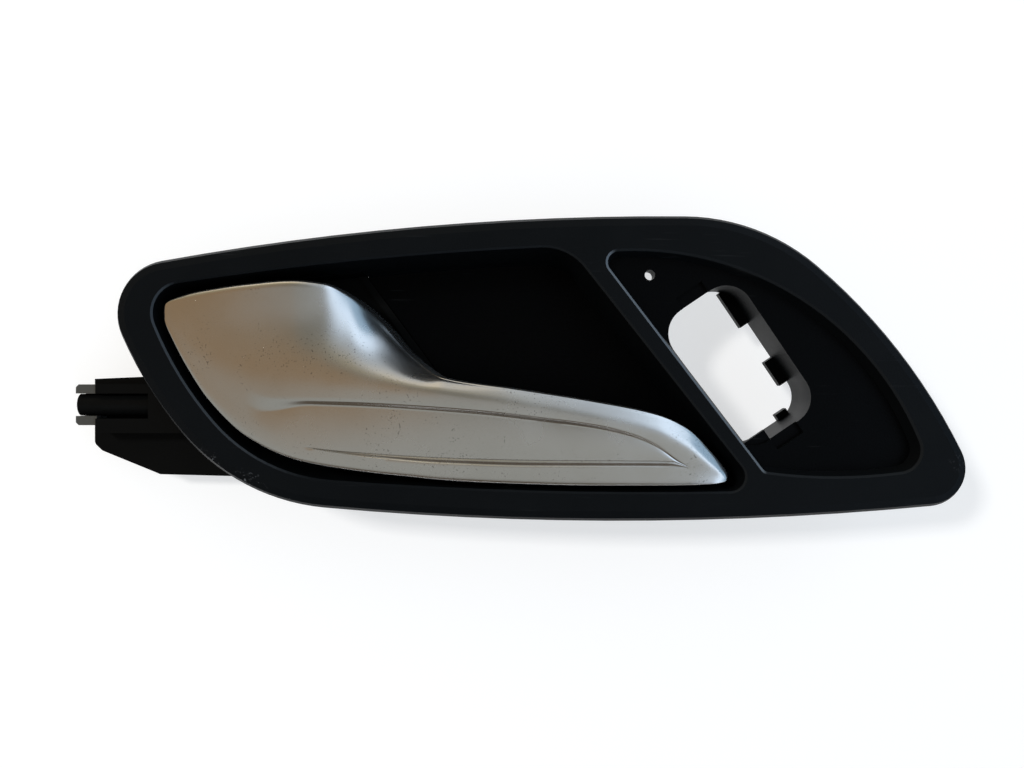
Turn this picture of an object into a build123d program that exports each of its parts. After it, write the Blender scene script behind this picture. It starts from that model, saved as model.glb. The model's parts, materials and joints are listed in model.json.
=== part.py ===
from build123d import *
import math
import os

# Modelling frame: x runs right along the face, y runs up, z comes out of the door.
# The origin is the fixing screw hole on the rear mounting face. Lengths are in mm.

# Bezel rim
RIM_Z = 38.0
RIM_DEPTH = 8.0
RIM_FACE = 2.5
RIM_WALL = 2.2
RIM_ROUND = 3.2
EDGE_ROUND = 0.5
RIM_TOP_LEFT = (-110.1, 42.5)
RIM_LOW_LEFT = (-68.7, -18.5)
RIM_LOW_RIGHT = (126.0, -18.5)
RIM_TOP_RIGHT = (64.2, 57.2)
RIM_BULGES = (6.5, 5.4, 7.9, 5.1)
RIM_CORNERS = (14.4, 56.0, 10.2, 55.0)

# Finger cup
CUP_WALL = 2.0
CUP_FLOOR = 2.5
CUP_FLOOR_Z = 10.0
CUP_DRAFT = 3.0
CUP_TOP_LEFT = (-97.9, 38.0)
CUP_LOW_LEFT = (-63.4, -11.5)
CUP_LOW_RIGHT = (65.9, -15.6)
CUP_TOP_RIGHT = (14.9, 49.2)
CUP_BULGES = (5.1, 1.9, 0.0, 1.8)
CUP_CORNERS = (8.0, 45.0, 4.0, 14.0)
APERTURE_TOP = (-40.7, 42.1)
APERTURE_LOW = (-20.9, 15.3)
APERTURE_WALL_Z = 20.0

# Switch pocket and its tunnel
POCKET_DEPTH = 5.0
POCKET_FLOOR = 2.5
POCKET_DRAFT = 13.0
POCKET_TOP_LEFT = (22.6, 47.5)
POCKET_LOW_LEFT = (66.9, -10.6)
POCKET_LOW_RIGHT = (110.5, -9.5)
POCKET_BULGES = (0.0, 1.8, 19.0)
POCKET_CORNERS = (3.0, 2.0, 6.0)
SWITCH_CENTRE = (61.4, 17.7)
SWITCH_SLOPE = -56.0
SWITCH_LENGTH = 42.4
SWITCH_WIDTH = 24.8
SWITCH_CORNER = 7.5
TUNNEL_WALL = 1.8
TUNNEL_DEPTH = 18.5
CLIP_NOTCH = (3.4, 8.4)
CLIP_SINK = 1.5
LEDGE_REACH = 3.0
LEDGE_HEIGHT = 3.0
LEDGES = ((-12.8, 11.6), (9.0, 8.0))
HOOK = (2.0, 3.6)
HOOK_AT = 5.4
PILOT_HOLE_AT = (37.2, 42.1)
PILOT_RADIUS = 1.4
PILOT_DEPTH = 6.5
PILOT_BOSS = 5.6

# Fixing screw, locating pins and trim clips
FIXING_RADIUS = 2.75
FIXING_BOSS = 6.0
FIXING_HEAD = 5.4
FIXING_SINK = 1.0
LOCATOR_RADIUS = 2.4
LOCATOR_WEB = 1.4
LOCATOR_DROP = 17.0
LOCATORS = ((59.0, 51.4), (113.5, -9.6))
BLADE_SIZE = (12.0, 1.8, 13.0)
BLADES = ((18.5, 52.4, 1.0), (96.0, -15.8, 3.0))
CLIP_SHEET = 0.5
CLIP_WIDTH = 8.0
CLIP_GAP = 0.05
CLIP_HIGH = 9.0
BARB = (1.0, 5.5, 6.5)
BARB_REACH = 2.2
RIB_THICK = 1.2
RIB_DROP = 5.0
RIB_PITCH = 30

# Hinge of the lever
HINGE_X = -72.0
HINGE_Z = 31.0
PIN_RADIUS = 1.75
PIN_FIT = 0.04
PIN_SEAT = 0.02
PIN_HEAD = 2.5
PIN_HEAD_HIGH = 1.4
PIN_TAIL = 2.2
BUSH_WALL = 1.0
BUSH_LENGTH = 6.0
BARREL_RADIUS = 4.2
EAR_THICK = 3.5
EAR_RADIUS = 5.0
EAR_FOOT = 9.0
LOW_EAR_Y = 12.5
HIGH_EAR_Y = 31.0
RUN_GAP = 0.3

# Hinge base
BASE_WALL = 2.0
BASE_FLOOR = 2.5
BASE_FLOOR_Z = 5.0
BASE_FLANGE = 3.0
BASE_GAP = 0.3
SCREW_RADIUS = 1.5
SCREW_CLEAR = 1.7
SCREW_HEAD = 2.75
SCREW_HEAD_HIGH = 2.0
SCREW_LENGTH = 11.0
LUG_RADIUS = 4.6
BOSS_RADIUS = 3.6
BASE_SCREWS = ((-72.2, -8.4), (-48.5, 47.9), (-25.0, -17.8))

# Cable bracket
CABLE_Y = 6.8
CABLE_Z = 15.75
CABLE_HOLE = 1.3
SOCKET_RADIUS = 2.3
SOCKET_TUBE = 3.1
SOCKET_END = -123.6
SOCKET_STOP = -103.0
BRACKET_END = -117.9
BRACKET_PLATE = 2.5
BRACKET_PLATE_Z = 9.0
RAIL_GAP = 3.2
RAIL_DROP = 3.9
BRACKET_LOW = -1.2
BRACKET_HIGH = 12.7
PRONG = 2.6
PRONG_END = -123.9
WING = ((-121.6, 14.2), (-121.6, -4.6), (-119.4, -6.7), (-102.5, -13.6), (-80.0, -14.2), (-80.0, 16.0))
WING_ROUND = 2.0

# Lever: one row a station, x, low edge, high edge, crest line, then heights over the rim face
# of low edge, crest, shoulder, top edge and the end of the top side
LEVER_WALL = 2.2
LEVER_BACK = 8.0
LEVER_CUT_Z = 30.5
HUB_CUT_Z = 29.0
FLANK_CUT_Z = 14.0
FLANK_LOW_Y = 8.0
FLANK_STEPS = (-17.0, -21.0, -46.0, -53.0)
TRIM_ENDS = (-100.0, 70.0)
TRIM_SIDES = (-30.0, 60.0)
LEVER_STRIDE = 7.0
LOW_EDGE = 0.5
TOP_EDGE = 1.1
LEVER_STATIONS = (
    (-92.4, 30.2, 34.0, 32.2, -0.9, -0.8, -0.8, -0.9, -4.0),
    (-91.7, 28.6, 34.6, 31.2, 0.1, 0.2, 0.2, 0.1, -3.0),
    (-86.0, 17.2, 36.9, 25.0, 0.7, 1.0, 1.0, 0.8, -2.6),
    (-80.0, 8.2, 38.0, 19.5, 1.0, 1.4, 1.2, 1.1, -2.4),
    (-70.0, -1.4, 39.4, 15.5, 1.2, 1.9, 1.1, 1.4, -2.4),
    (-58.0, -7.2, 40.4, 14.2, 1.5, 2.5, 0.7, 1.5, -3.0),
    (-50.0, -9.0, 39.8, 13.7, 1.7, 3.0, 0.1, 0.6, -7.0),
    (-43.0, -10.1, 36.6, 13.2, 1.8, 3.5, -0.9, -2.4, -14.0),
    (-35.0, -11.1, 29.6, 12.6, 2.0, 4.0, -1.9, -7.6, -20.0),
    (-27.0, -11.9, 20.6, 11.8, 2.1, 4.5, 0.4, -6.5, -18.0),
    (-18.0, -12.8, 14.5, 10.2, 2.2, 4.8, 3.9, 1.2, -10.0),
    (0.0, -13.7, 11.7, 7.2, 2.3, 5.0, 4.5, 2.6, -7.0),
    (22.0, -14.2, 8.2, 3.6, 2.3, 4.8, 4.2, 2.4, -7.0),
    (38.0, -14.2, 4.9, 0.0, 2.2, 4.4, 3.7, 1.9, -7.0),
    (46.0, -14.1, 1.3, -3.8, 2.1, 3.9, 3.2, 1.5, -7.0),
    (52.6, -13.8, -5.2, -8.8, 1.8, 2.9, 2.4, 0.9, -7.0),
    (56.3, -13.2, -9.8, -11.6, 1.0, 1.6, 1.3, -0.2, -7.0),
    (57.2, -12.6, -11.0, -11.9, -1.0, -0.8, -0.9, -1.6, -7.0),
)
# Lines of the relief as x, y, and its depths as x, depth
PANEL_TOP = ((-92.4, 32.0), (-80.0, 19.0), (-61.9, 9.0), (-36.0, 7.9), (-10.0, 6.1), (6.1, 4.3), (22.5, 2.1),
             (31.4, -0.2), (37.4, -2.9), (43.4, -7.2), (46.4, -8.9), (57.2, -11.6))
GROOVE_TOP = ((-92.4, 31.2), (-80.0, 11.5), (-61.9, -1.4), (-52.9, -4.0), (-36.0, -5.6), (-18.2, -6.6), (6.1, -7.25),
              (41.0, -7.5), (46.4, -9.1), (57.2, -11.9))
GROOVE_LOW = ((-92.4, 30.8), (-80.0, 10.4), (-61.9, -2.0), (-52.9, -4.3), (-34.4, -6.9), (-18.2, -8.3), (6.1, -9.1),
              (41.0, -9.2), (46.4, -9.4), (57.2, -12.2))
PANEL_DEPTH = ((-64.0, 0.0), (-50.0, 0.35), (-20.0, 0.8), (20.0, 1.1), (38.0, 0.8), (46.4, 0.0))
GROOVE_DEPTH = ((-54.0, 0.0), (-40.0, 0.6), (0.0, 0.9), (39.0, 0.9), (46.4, 0.0))
CREASE = 0.6
GROOVE_BED = 0.25
LIP_SPOTS = (0.06, 0.5)
CREST_SPOTS = (0.12, 0.26, 0.42, 0.58, 0.74, 0.88, 0.97)
CAVITY_SPOTS = (0.0, 0.2, 0.55, 0.82, 1.0)

# Lever core
CORE_GAP = 0.15
CORE_PLATE = 2.4
CORE_LEFT = -64.0
CORE_LOW = ((-64.0, -3.0), (-40.0, -7.6), (-10.0, -9.5), (48.0, -10.2))
CORE_HIGH = ((44.0, -3.5), (20.0, 2.6), (-16.0, 7.6), (-28.0, 11.5), (-40.0, 22.0), (-48.0, 32.0), (-64.0, 32.0))
CRANK_THICK = 4.0
CRANK_EYE = 3.8
NIPPLE_RADIUS = 2.0
NIPPLE_SLOT = 1.0
CORE_SCREWS = ((-24.0, -0.5), (28.0, -4.5))
CORE_SCREW_LENGTH = 7.0
CORE_BOSS = 3.2

# Spring and stops
WIRE_RADIUS = 0.5
COIL_RADIUS = 4.95
COIL_PITCH = 1.4
COIL_SIDES = 8
COIL_ROUNDS = 2
COIL_Y = 17.8
COIL_LEG = 16.0
TRAVEL = 24.0
POST_RADIUS = 3.6
BUMPER_RADIUS = 2.0
BUMPER_SEAT = 3.0
REST_BUMPER_AT = (-52.0, 24.0)
REST_POST_Z = 22.0
TRAVEL_BUMPER_AT = (-86.4, 26.0)
TRAVEL_POST_Z = 14.0
TRAVEL_TOP_Z = 21.1
FOAM_AT = (22.0, 22.0)
FOAM_SIZE = (24.0, 16.0, 4.0)

MOUNT_Z = 0.0
RIM_BACK_Z = RIM_Z - RIM_FACE
FLANGE_Z = RIM_Z - RIM_DEPTH
POCKET_Z = RIM_Z - POCKET_DEPTH
CUP_BACK_Z = CUP_FLOOR_Z - CUP_FLOOR
BASE_TOP_Z = BASE_FLOOR_Z + BASE_FLOOR
BUSH_RADIUS = PIN_RADIUS + PIN_FIT + BUSH_WALL
BARREL_LOW = LOW_EAR_Y + EAR_THICK + RUN_GAP
BARREL_HIGH = HIGH_EAR_Y - RUN_GAP
COIL_RISE = (COIL_ROUNDS + 0.25) * COIL_PITCH
OVER = 1.0


def block(x, y, z):
    low = (x[0], y[0], z[0])
    size = (x[1] - x[0], y[1] - y[0], z[1] - z[0])
    return Pos(*low) * Box(*size, align=(Align.MIN, Align.MIN, Align.MIN))


def rod_z(at, radius, z):
    return Pos(at[0], at[1], z[0]) * Cylinder(radius, z[1] - z[0], align=(Align.CENTER, Align.CENTER, Align.MIN))


def post(at, radius, z):
    return slab(Pos(at[0], at[1]) * RegularPolygon(radius, 6), z)


def rod_y(at, radius, y):
    turned = Rot(-90, 0, 0) * Cylinder(radius, y[1] - y[0], align=(Align.CENTER, Align.CENTER, Align.MIN))
    return Pos(at[0], y[0], at[1]) * turned


def rod_x(at, radius, x):
    turned = Rot(0, 90, 0) * Cylinder(radius, x[1] - x[0], align=(Align.CENTER, Align.CENTER, Align.MIN))
    return Pos(x[0], at[0], at[1]) * turned


def side(start, end, bulge, grow):
    run = Vector(end[0] - start[0], end[1] - start[1])
    out = Vector(run.Y, -run.X).normalized()
    middle = Vector(start[0] + run.X / 2, start[1] + run.Y / 2) + out * (bulge + grow)
    if bulge == 0:
        return None, out, middle
    radius = (run.length**2 / 4 + bulge**2) / (2 * bulge)
    centre = middle - out * (radius + grow)
    return centre, radius + grow, middle


def error(edge, at):
    centre, size, middle = edge
    if centre is None:
        return (at - middle).dot(size), size
    arm = at - centre
    return arm.length - size, arm.normalized()


def meet(first, second, near):
    at = Vector(*near)
    for _ in range(12):
        f, m = error(first, at)
        g, n = error(second, at)
        spread = m.X * n.Y - m.Y * n.X
        at = at - Vector(f * n.Y - g * m.Y, g * m.X - f * n.X) / spread
    return (at.X, at.Y)


def outline(corners, bulges, radii, grow):
    count = len(corners)
    sides = [side(corners[i], corners[(i + 1) % count], bulges[i], grow) for i in range(count)]
    points = [meet(sides[i - 1], sides[i], corners[i]) for i in range(count)]
    edges = []
    for i in range(count):
        start, end, middle = points[i], points[(i + 1) % count], sides[i][2]
        edges.append(Line(start, end) if sides[i][0] is None else ThreePointArc(start, (middle.X, middle.Y), end))
    face = make_face(edges)
    for point, radius in zip(points, radii):
        vertex = face.vertices().sort_by_distance((point[0], point[1], 0))[0]
        face = fillet(vertex, radius + grow)
    return face


def slab(face, z):
    return extrude(Pos(0, 0, z[0]) * face, z[1] - z[0], dir=(0, 0, 1))


def rim_outline(grow=0):
    corners = (RIM_TOP_LEFT, RIM_LOW_LEFT, RIM_LOW_RIGHT, RIM_TOP_RIGHT)
    return outline(corners, RIM_BULGES, RIM_CORNERS, grow)


def cup_outline(grow=0):
    corners = (CUP_TOP_LEFT, CUP_LOW_LEFT, CUP_LOW_RIGHT, CUP_TOP_RIGHT)
    return outline(corners, CUP_BULGES, CUP_CORNERS, grow)


def pocket_outline(grow=0):
    corners = (POCKET_TOP_LEFT, POCKET_LOW_LEFT, POCKET_LOW_RIGHT)
    return outline(corners, POCKET_BULGES, POCKET_CORNERS, grow)


def drafted(make, grow, z, angle):
    lean = math.tan(math.radians(angle))
    body = slab(make(grow + OVER * lean), (z[0], z[1] + 2 * OVER))
    base = body.faces().sort_by(Axis.Z)[0]
    high = z[1] - z[0] + OVER
    return chamfer(base.edges(), high * lean, high, reference=base)


def aperture(shift, z):
    run = Vector(APERTURE_LOW[0] - APERTURE_TOP[0], APERTURE_LOW[1] - APERTURE_TOP[1]).normalized()
    left = Vector(run.Y, -run.X)
    start = Vector(*APERTURE_TOP) - run * 40 + left * shift
    end = Vector(*APERTURE_LOW) + run * 60 + left * shift
    far = left * 160
    face = make_face(Polyline(start, end, end + far, start + far, close=True))
    return slab(face, z)


def rim_slab(inset, drop):
    shell = slab(rim_outline(), (FLANGE_Z, RIM_Z))
    front = shell.faces().sort_by(Axis.Z)[-1]
    return chamfer(front.edges(), inset * RIM_ROUND, drop * RIM_ROUND, reference=front)


def rim_shell():
    shell = rim_slab(0.9, 0.4) & rim_slab(0.4, 0.9)
    hollow = slab(rim_outline(-RIM_WALL), (FLANGE_Z - OVER, RIM_BACK_Z))
    return shell - hollow


def cup_body():
    return drafted(cup_outline, CUP_WALL, (CUP_BACK_Z, RIM_BACK_Z - OVER / 2), CUP_DRAFT)


def mouths(body):
    face = body.faces().filter_by(Plane.XY).sort_by(Axis.Z)[-1]
    edges = [edge for wire in face.inner_wires() for edge in wire.edges()]
    return chamfer(edges, EDGE_ROUND)


def cup_space():
    return drafted(cup_outline, 0, (CUP_FLOOR_Z, RIM_Z), CUP_DRAFT)


def switch_place():
    return Pos(SWITCH_CENTRE[0], SWITCH_CENTRE[1], 0) * Rot(0, 0, SWITCH_SLOPE)


def switch_outline(grow):
    return RectangleRounded(SWITCH_LENGTH + 2 * grow, SWITCH_WIDTH + 2 * grow, SWITCH_CORNER + grow)


def switch_tunnel():
    low = POCKET_Z - TUNNEL_DEPTH
    return switch_place() * slab(switch_outline(TUNNEL_WALL), (low, POCKET_Z - POCKET_FLOOR))


def switch_space():
    low = POCKET_Z - TUNNEL_DEPTH
    space = slab(switch_outline(0), (low - OVER, POCKET_Z + OVER))
    end = SWITCH_LENGTH / 2
    deep = (POCKET_Z - CLIP_SINK, POCKET_Z + OVER)
    half = CLIP_NOTCH[1] / 2
    space += block((end - OVER, end + CLIP_NOTCH[0]), (-half, half), deep)
    space += block((-end - CLIP_NOTCH[0], -end + OVER), (-half, half), deep)
    return switch_place() * space


def switch_ledges():
    low = POCKET_Z - TUNNEL_DEPTH
    wall = SWITCH_WIDTH / 2
    end = SWITCH_LENGTH / 2
    rear = (low, low + LEDGE_HEIGHT)
    ledges = Part()
    for at, length in LEDGES:
        ledges += block((at - length / 2, at + length / 2), (wall - LEDGE_REACH, wall + OVER), rear)
    ledges += block((end - HOOK[0], end + OVER), (HOOK_AT - HOOK[1] / 2, HOOK_AT + HOOK[1] / 2), rear)
    tab = (POCKET_Z - POCKET_FLOOR, POCKET_Z - OVER)
    ledges += block((end - LEDGE_REACH, end + OVER), (-wall + 2 * OVER, -wall / 3), tab)
    return switch_place() * ledges


def pocket_body():
    body = slab(pocket_outline(CUP_WALL), (POCKET_Z - POCKET_FLOOR, RIM_BACK_Z + OVER))
    body += switch_tunnel()
    x, y = PILOT_HOLE_AT
    half = PILOT_BOSS / 2
    body += block((x - half, x + half), (y - half, y + half), (POCKET_Z - PILOT_DEPTH, POCKET_Z - OVER))
    return body


def pocket_space():
    space = drafted(pocket_outline, 0, (POCKET_Z, RIM_Z), POCKET_DRAFT)
    space += rod_z(PILOT_HOLE_AT, PILOT_RADIUS, (POCKET_Z - PILOT_DEPTH - OVER, POCKET_Z + OVER))
    return space


def rim_ribs():
    band = slab(rim_outline(-RIM_WALL / 2), (RIM_BACK_Z - RIB_DROP, RIM_BACK_Z + OVER / 2))
    band -= slab(cup_outline(CUP_WALL / 2), (MOUNT_Z, RIM_Z))
    band -= slab(pocket_outline(CUP_WALL / 2), (MOUNT_Z, RIM_Z))
    ribs = Part()
    for at in range(-90, 120, RIB_PITCH):
        ribs += block((at - RIB_THICK / 2, at + RIB_THICK / 2), (-40, 70), (MOUNT_Z, RIM_Z))
    return band & ribs


def locator(at, z):
    cross = Rectangle(2 * LOCATOR_RADIUS, LOCATOR_WEB) + Rectangle(LOCATOR_WEB, 2 * LOCATOR_RADIUS)
    pin = slab(Pos(at[0], at[1]) * cross, z)
    tips = pin.edges().group_by(Axis.Z)[0].filter_by(lambda edge: edge.length < 1.01 * LOCATOR_WEB)
    return chamfer(tips, LOCATOR_RADIUS / 4)


def bezel_bosses():
    bosses = rod_z((0, 0), FIXING_BOSS, (MOUNT_Z, CUP_FLOOR_Z - OVER))
    for at in BASE_SCREWS:
        bosses += post(at, BOSS_RADIUS, (APERTURE_WALL_Z, RIM_BACK_Z + OVER / 2))
    for at in LOCATORS:
        bosses += locator(at, (RIM_BACK_Z - LOCATOR_DROP, RIM_BACK_Z + OVER / 2))
    return bosses


def blade_place(blade):
    return Pos(blade[0], blade[1], RIM_BACK_Z) * Rot(0, 0, blade[2])


def clip_blades():
    blades = Part()
    for blade in BLADES:
        x, y, z = BLADE_SIZE
        blades += blade_place(blade) * block((-x / 2, x / 2), (-y / 2, y / 2), (-z, OVER / 2))
    return blades


def bezel_holes():
    holes = rod_z((0, 0), FIXING_RADIUS, (MOUNT_Z - OVER, CUP_FLOOR_Z + OVER))
    holes += rod_z((0, 0), FIXING_HEAD, (CUP_FLOOR_Z - FIXING_SINK, CUP_FLOOR_Z + OVER))
    for at in BASE_SCREWS:
        holes += rod_z(at, SCREW_RADIUS, (APERTURE_WALL_Z - OVER, APERTURE_WALL_Z + SCREW_LENGTH - BASE_FLANGE + OVER))
    return holes


def make_bezel():
    body = rim_shell() + cup_body() + pocket_body() + rim_ribs() + bezel_bosses() + clip_blades()
    body -= cup_space()
    body -= pocket_space()
    body = mouths(body)
    body -= switch_space()
    body += switch_ledges()
    body -= aperture(0, (CUP_BACK_Z - 3 * OVER, APERTURE_WALL_Z))
    body -= bezel_holes()
    return body


def side_slab(face, y):
    upright = Rot(90, 0, 0) * face
    return extrude(Pos(0, y[1], 0) * upright, y[1] - y[0], dir=(0, -1, 0))


def screw(at, seat, length, radius):
    head = slab(Pos(at[0], at[1]) * RegularPolygon(SCREW_HEAD, 6), (seat - SCREW_HEAD_HIGH, seat))
    return head + post(at, radius, (seat, seat + length))


def tub():
    outer = slab(cup_outline(BASE_WALL / 2), (BASE_FLOOR_Z, APERTURE_WALL_Z))
    outer &= aperture(BASE_GAP, (MOUNT_Z, RIM_Z))
    return outer


def tub_space():
    inner = slab(cup_outline(-BASE_WALL / 2), (BASE_TOP_Z, RIM_Z))
    high = inner & aperture(-OVER, (CUP_FLOOR_Z - BASE_GAP, RIM_Z))
    return inner & aperture(BASE_GAP + BASE_WALL, (MOUNT_Z, RIM_Z)) + high


def base_lugs():
    lugs = Part()
    for at in BASE_SCREWS:
        lugs += post(at, LUG_RADIUS, (APERTURE_WALL_Z - BASE_FLANGE, APERTURE_WALL_Z))
    return lugs


def ear(y):
    foot = Polyline(
        (HINGE_X - EAR_FOOT, BASE_TOP_Z - OVER),
        (HINGE_X + EAR_FOOT, BASE_TOP_Z - OVER),
        (HINGE_X + EAR_RADIUS, HINGE_Z),
        (HINGE_X - EAR_RADIUS, HINGE_Z),
        close=True,
    )
    plate = side_slab(make_face(foot), (y, y + EAR_THICK))
    return plate + rod_y((HINGE_X, HINGE_Z), EAR_RADIUS, (y, y + EAR_THICK))


def bracket():
    wing = make_face(Polyline(*WING, close=True))
    wing = fillet(wing.vertices().group_by(Axis.X)[0].sort_by(Axis.Y)[0], WING_ROUND)
    body = slab(wing, (BRACKET_PLATE_Z, BRACKET_PLATE_Z + BRACKET_PLATE))
    front = (BRACKET_PLATE_Z + OVER, APERTURE_WALL_Z)
    body += block((BRACKET_END, HINGE_X - EAR_RADIUS), (BRACKET_LOW, BRACKET_HIGH), front)
    slot = (CABLE_Y - RAIL_DROP, CABLE_Y + RAIL_GAP)
    body -= block((BRACKET_END - OVER, SOCKET_STOP), slot, (BRACKET_PLATE_Z + BRACKET_PLATE, APERTURE_WALL_Z + OVER))
    return body


def cable_socket():
    tube = rod_x((CABLE_Y, CABLE_Z), SOCKET_TUBE, (SOCKET_END, SOCKET_STOP + OVER))
    rib = (CABLE_Y - OVER, CABLE_Y + OVER)
    tube += block((BRACKET_END, SOCKET_STOP + OVER), rib, (BRACKET_PLATE_Z + OVER, CABLE_Z))
    return tube


def cable_way():
    way = rod_x((CABLE_Y, CABLE_Z), SOCKET_RADIUS, (SOCKET_END - OVER, SOCKET_STOP))
    return way + rod_x((CABLE_Y, CABLE_Z), CABLE_HOLE, (SOCKET_STOP - OVER, HINGE_X))


def make_hinge_base():
    body = tub() + base_lugs() + bracket()
    body -= tub_space()
    body += ear(LOW_EAR_Y) + ear(HIGH_EAR_Y)
    body += cable_socket()
    body -= cable_way()
    for at, top in ((REST_BUMPER_AT, REST_POST_Z), (TRAVEL_BUMPER_AT, TRAVEL_POST_Z)):
        body += post(at, POST_RADIUS, (BASE_TOP_Z - OVER, top))
        body -= rod_z(at, BUMPER_RADIUS, (top - BUMPER_SEAT, top + OVER))
    body -= rod_y((HINGE_X, HINGE_Z), PIN_RADIUS + PIN_SEAT, (0, BRACKET_HIGH + HIGH_EAR_Y))
    for at in BASE_SCREWS:
        body -= rod_z(at, SCREW_CLEAR, (MOUNT_Z, APERTURE_WALL_Z + OVER))
        body -= rod_z(at, SCREW_HEAD + RUN_GAP, (MOUNT_Z, APERTURE_WALL_Z - BASE_FLANGE))
    return body


def make_base_screws():
    seat = APERTURE_WALL_Z - BASE_FLANGE
    return Compound([screw(at, seat, SCREW_LENGTH, SCREW_RADIUS).solid() for at in BASE_SCREWS])


def make_cable_retainer():
    half = RAIL_GAP + PRONG
    low = BRACKET_PLATE_Z + BRACKET_PLATE
    body = block((PRONG_END, BRACKET_END - CLIP_GAP), (CABLE_Y - half, CABLE_Y + half), (low, CABLE_Z + SOCKET_TUBE))
    body = chamfer(body.edges().filter_by(Axis.Z).group_by(Axis.X)[0], 0.8)
    gap = (CABLE_Y - RAIL_GAP, CABLE_Y + RAIL_GAP)
    return body - block((PRONG_END - OVER, BRACKET_END), gap, (low + CLIP_SHEET + RUN_GAP, RIM_Z))


def make_pivot_pin():
    top = HIGH_EAR_Y + EAR_THICK
    pin = rod_y((HINGE_X, HINGE_Z), PIN_RADIUS, (LOW_EAR_Y - PIN_TAIL, top + OVER))
    return pin + rod_y((HINGE_X, HINGE_Z), PIN_HEAD, (top, top + PIN_HEAD_HIGH))


def make_pin_clip():
    y = (LOW_EAR_Y - RUN_GAP - CLIP_SHEET, LOW_EAR_Y - RUN_GAP)
    ring = rod_y((HINGE_X, HINGE_Z), 2 * PIN_RADIUS, y)
    return ring - rod_y((HINGE_X, HINGE_Z), PIN_RADIUS + PIN_SEAT, (y[0] - OVER, y[1] + OVER))


def bumper(at, z):
    return rod_z(at, BUMPER_RADIUS, (z[0] - BUMPER_SEAT, z[1]))


def make_rest_bumper():
    return bumper(REST_BUMPER_AT, (REST_POST_Z, LEVER_CUT_Z - RUN_GAP))


def make_travel_bumper():
    return bumper(TRAVEL_BUMPER_AT, (TRAVEL_POST_Z, TRAVEL_TOP_Z))


def coil_point(turn):
    angle = math.radians(360 * turn)
    reach = COIL_RADIUS / math.cos(math.pi / COIL_SIDES)
    return (HINGE_X - reach * math.cos(angle), COIL_Y + COIL_PITCH * turn, HINGE_Z + reach * math.sin(angle))


def make_return_spring():
    foot = (HINGE_X - COIL_RADIUS, COIL_Y, HINGE_Z - COIL_LEG - BARREL_RADIUS)
    bends = [coil_point((k + 0.5) / COIL_SIDES) for k in range(COIL_ROUNDS * COIL_SIDES + COIL_SIDES // 4)]
    end = (HINGE_X + COIL_LEG, COIL_Y + COIL_RISE, HINGE_Z + COIL_RADIUS)
    path = Polyline(foot, *bends, end)
    start = Plane(origin=foot, x_dir=(1, 0, 0), z_dir=path % 0)
    return sweep(start * Rectangle(2 * WIRE_RADIUS, 2 * WIRE_RADIUS), path=path, transition=Transition.RIGHT)


def make_trim_clips():
    clips = []
    for blade in BLADES:
        half = BLADE_SIZE[1] / 2 + CLIP_GAP
        low = -BLADE_SIZE[2] - CLIP_GAP
        outer = block((-CLIP_WIDTH / 2, CLIP_WIDTH / 2), (-half - CLIP_SHEET, half + CLIP_SHEET), (low - CLIP_SHEET, low + CLIP_HIGH))
        barb = Polyline(
            (half, low + BARB[0]), (half + BARB_REACH, low + BARB[1]), (half, low + BARB[2]), close=True
        )
        barb = extrude(Plane.YZ * make_face(barb), CLIP_WIDTH / 4, both=True)
        outer += barb + mirror(barb, Plane.XZ)
        outer -= block((-CLIP_WIDTH, CLIP_WIDTH), (-half, half), (low, RIM_Z))
        clips.append((blade_place(blade) * outer).solid())
    return Compound(clips)


def make_foam_pad():
    x, y, z = FOAM_SIZE
    pad = block((-x / 2, x / 2), (-y / 2, y / 2), (-z, 0))
    return Pos(FOAM_AT[0], FOAM_AT[1], CUP_BACK_Z) * pad


def lever_front(row):
    x, low, high, crest, h_low, h_crest, h_shoulder, h_edge, h_end = row
    reach = high - crest
    rise = (crest - low) * 0.4
    lip = min(LOW_EDGE, rise / 2)
    brow = min(TOP_EDGE, reach / 5)
    poles = (
        (low, RIM_Z + h_low - 3.0),
        (low, RIM_Z + h_low - lip),
        (low + lip, RIM_Z + h_low + 0.1),
        (low + rise, RIM_Z + h_low + 0.4 * (h_crest - h_low)),
        (crest - 0.25 * rise, RIM_Z + h_crest),
        (crest + 0.15 * reach, RIM_Z + h_crest),
        (crest + 0.5 * reach, RIM_Z + h_shoulder),
        (crest + 0.78 * reach, RIM_Z + between(h_shoulder, h_edge, 0.6)),
        (high - brow, RIM_Z + h_edge),
        (high, RIM_Z + h_edge - brow),
        (high, RIM_Z + h_end),
    )
    return BSpline(poles, (0, 0, 0, 0, 1, 2, 3, 4, 5, 6, 7, 8, 8, 8, 8), 3)


def height(front, y):
    low, high = 0.0, 1.0
    for _ in range(24):
        middle = (low + high) / 2
        if (front @ middle).X < y:
            low = middle
        else:
            high = middle
    return (front @ low).Y


def slope(before, at, after):
    left = (at[1] - before[1]) / (at[0] - before[0])
    right = (after[1] - at[1]) / (after[0] - at[0])
    if left * right <= 0:
        return 0.0
    return 2 * left * right / (left + right)


def eased(points, x):
    last = len(points) - 1
    i = max(k for k in range(last) if points[k][0] <= x or k == 0)
    a, b = points[i], points[i + 1]
    run = b[0] - a[0]
    t = min(max((x - a[0]) / run, 0), 1)
    chord = (b[1] - a[1]) / run
    leave = slope(points[i - 1], a, b) if i > 0 else chord
    arrive = slope(a, b, points[i + 2]) if i + 1 < last else chord
    flat = a[1] * (1 + 2 * t) * (1 - t) ** 2 + b[1] * t * t * (3 - 2 * t)
    return flat + run * t * (1 - t) * (leave * (1 - t) - arrive * t)


def lever_row(x):
    columns = range(1, len(LEVER_STATIONS[0]))
    return [x] + [eased([(row[0], row[c]) for row in LEVER_STATIONS], x) for c in columns]


def between(start, end, share):
    return start + (end - start) * share


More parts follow.
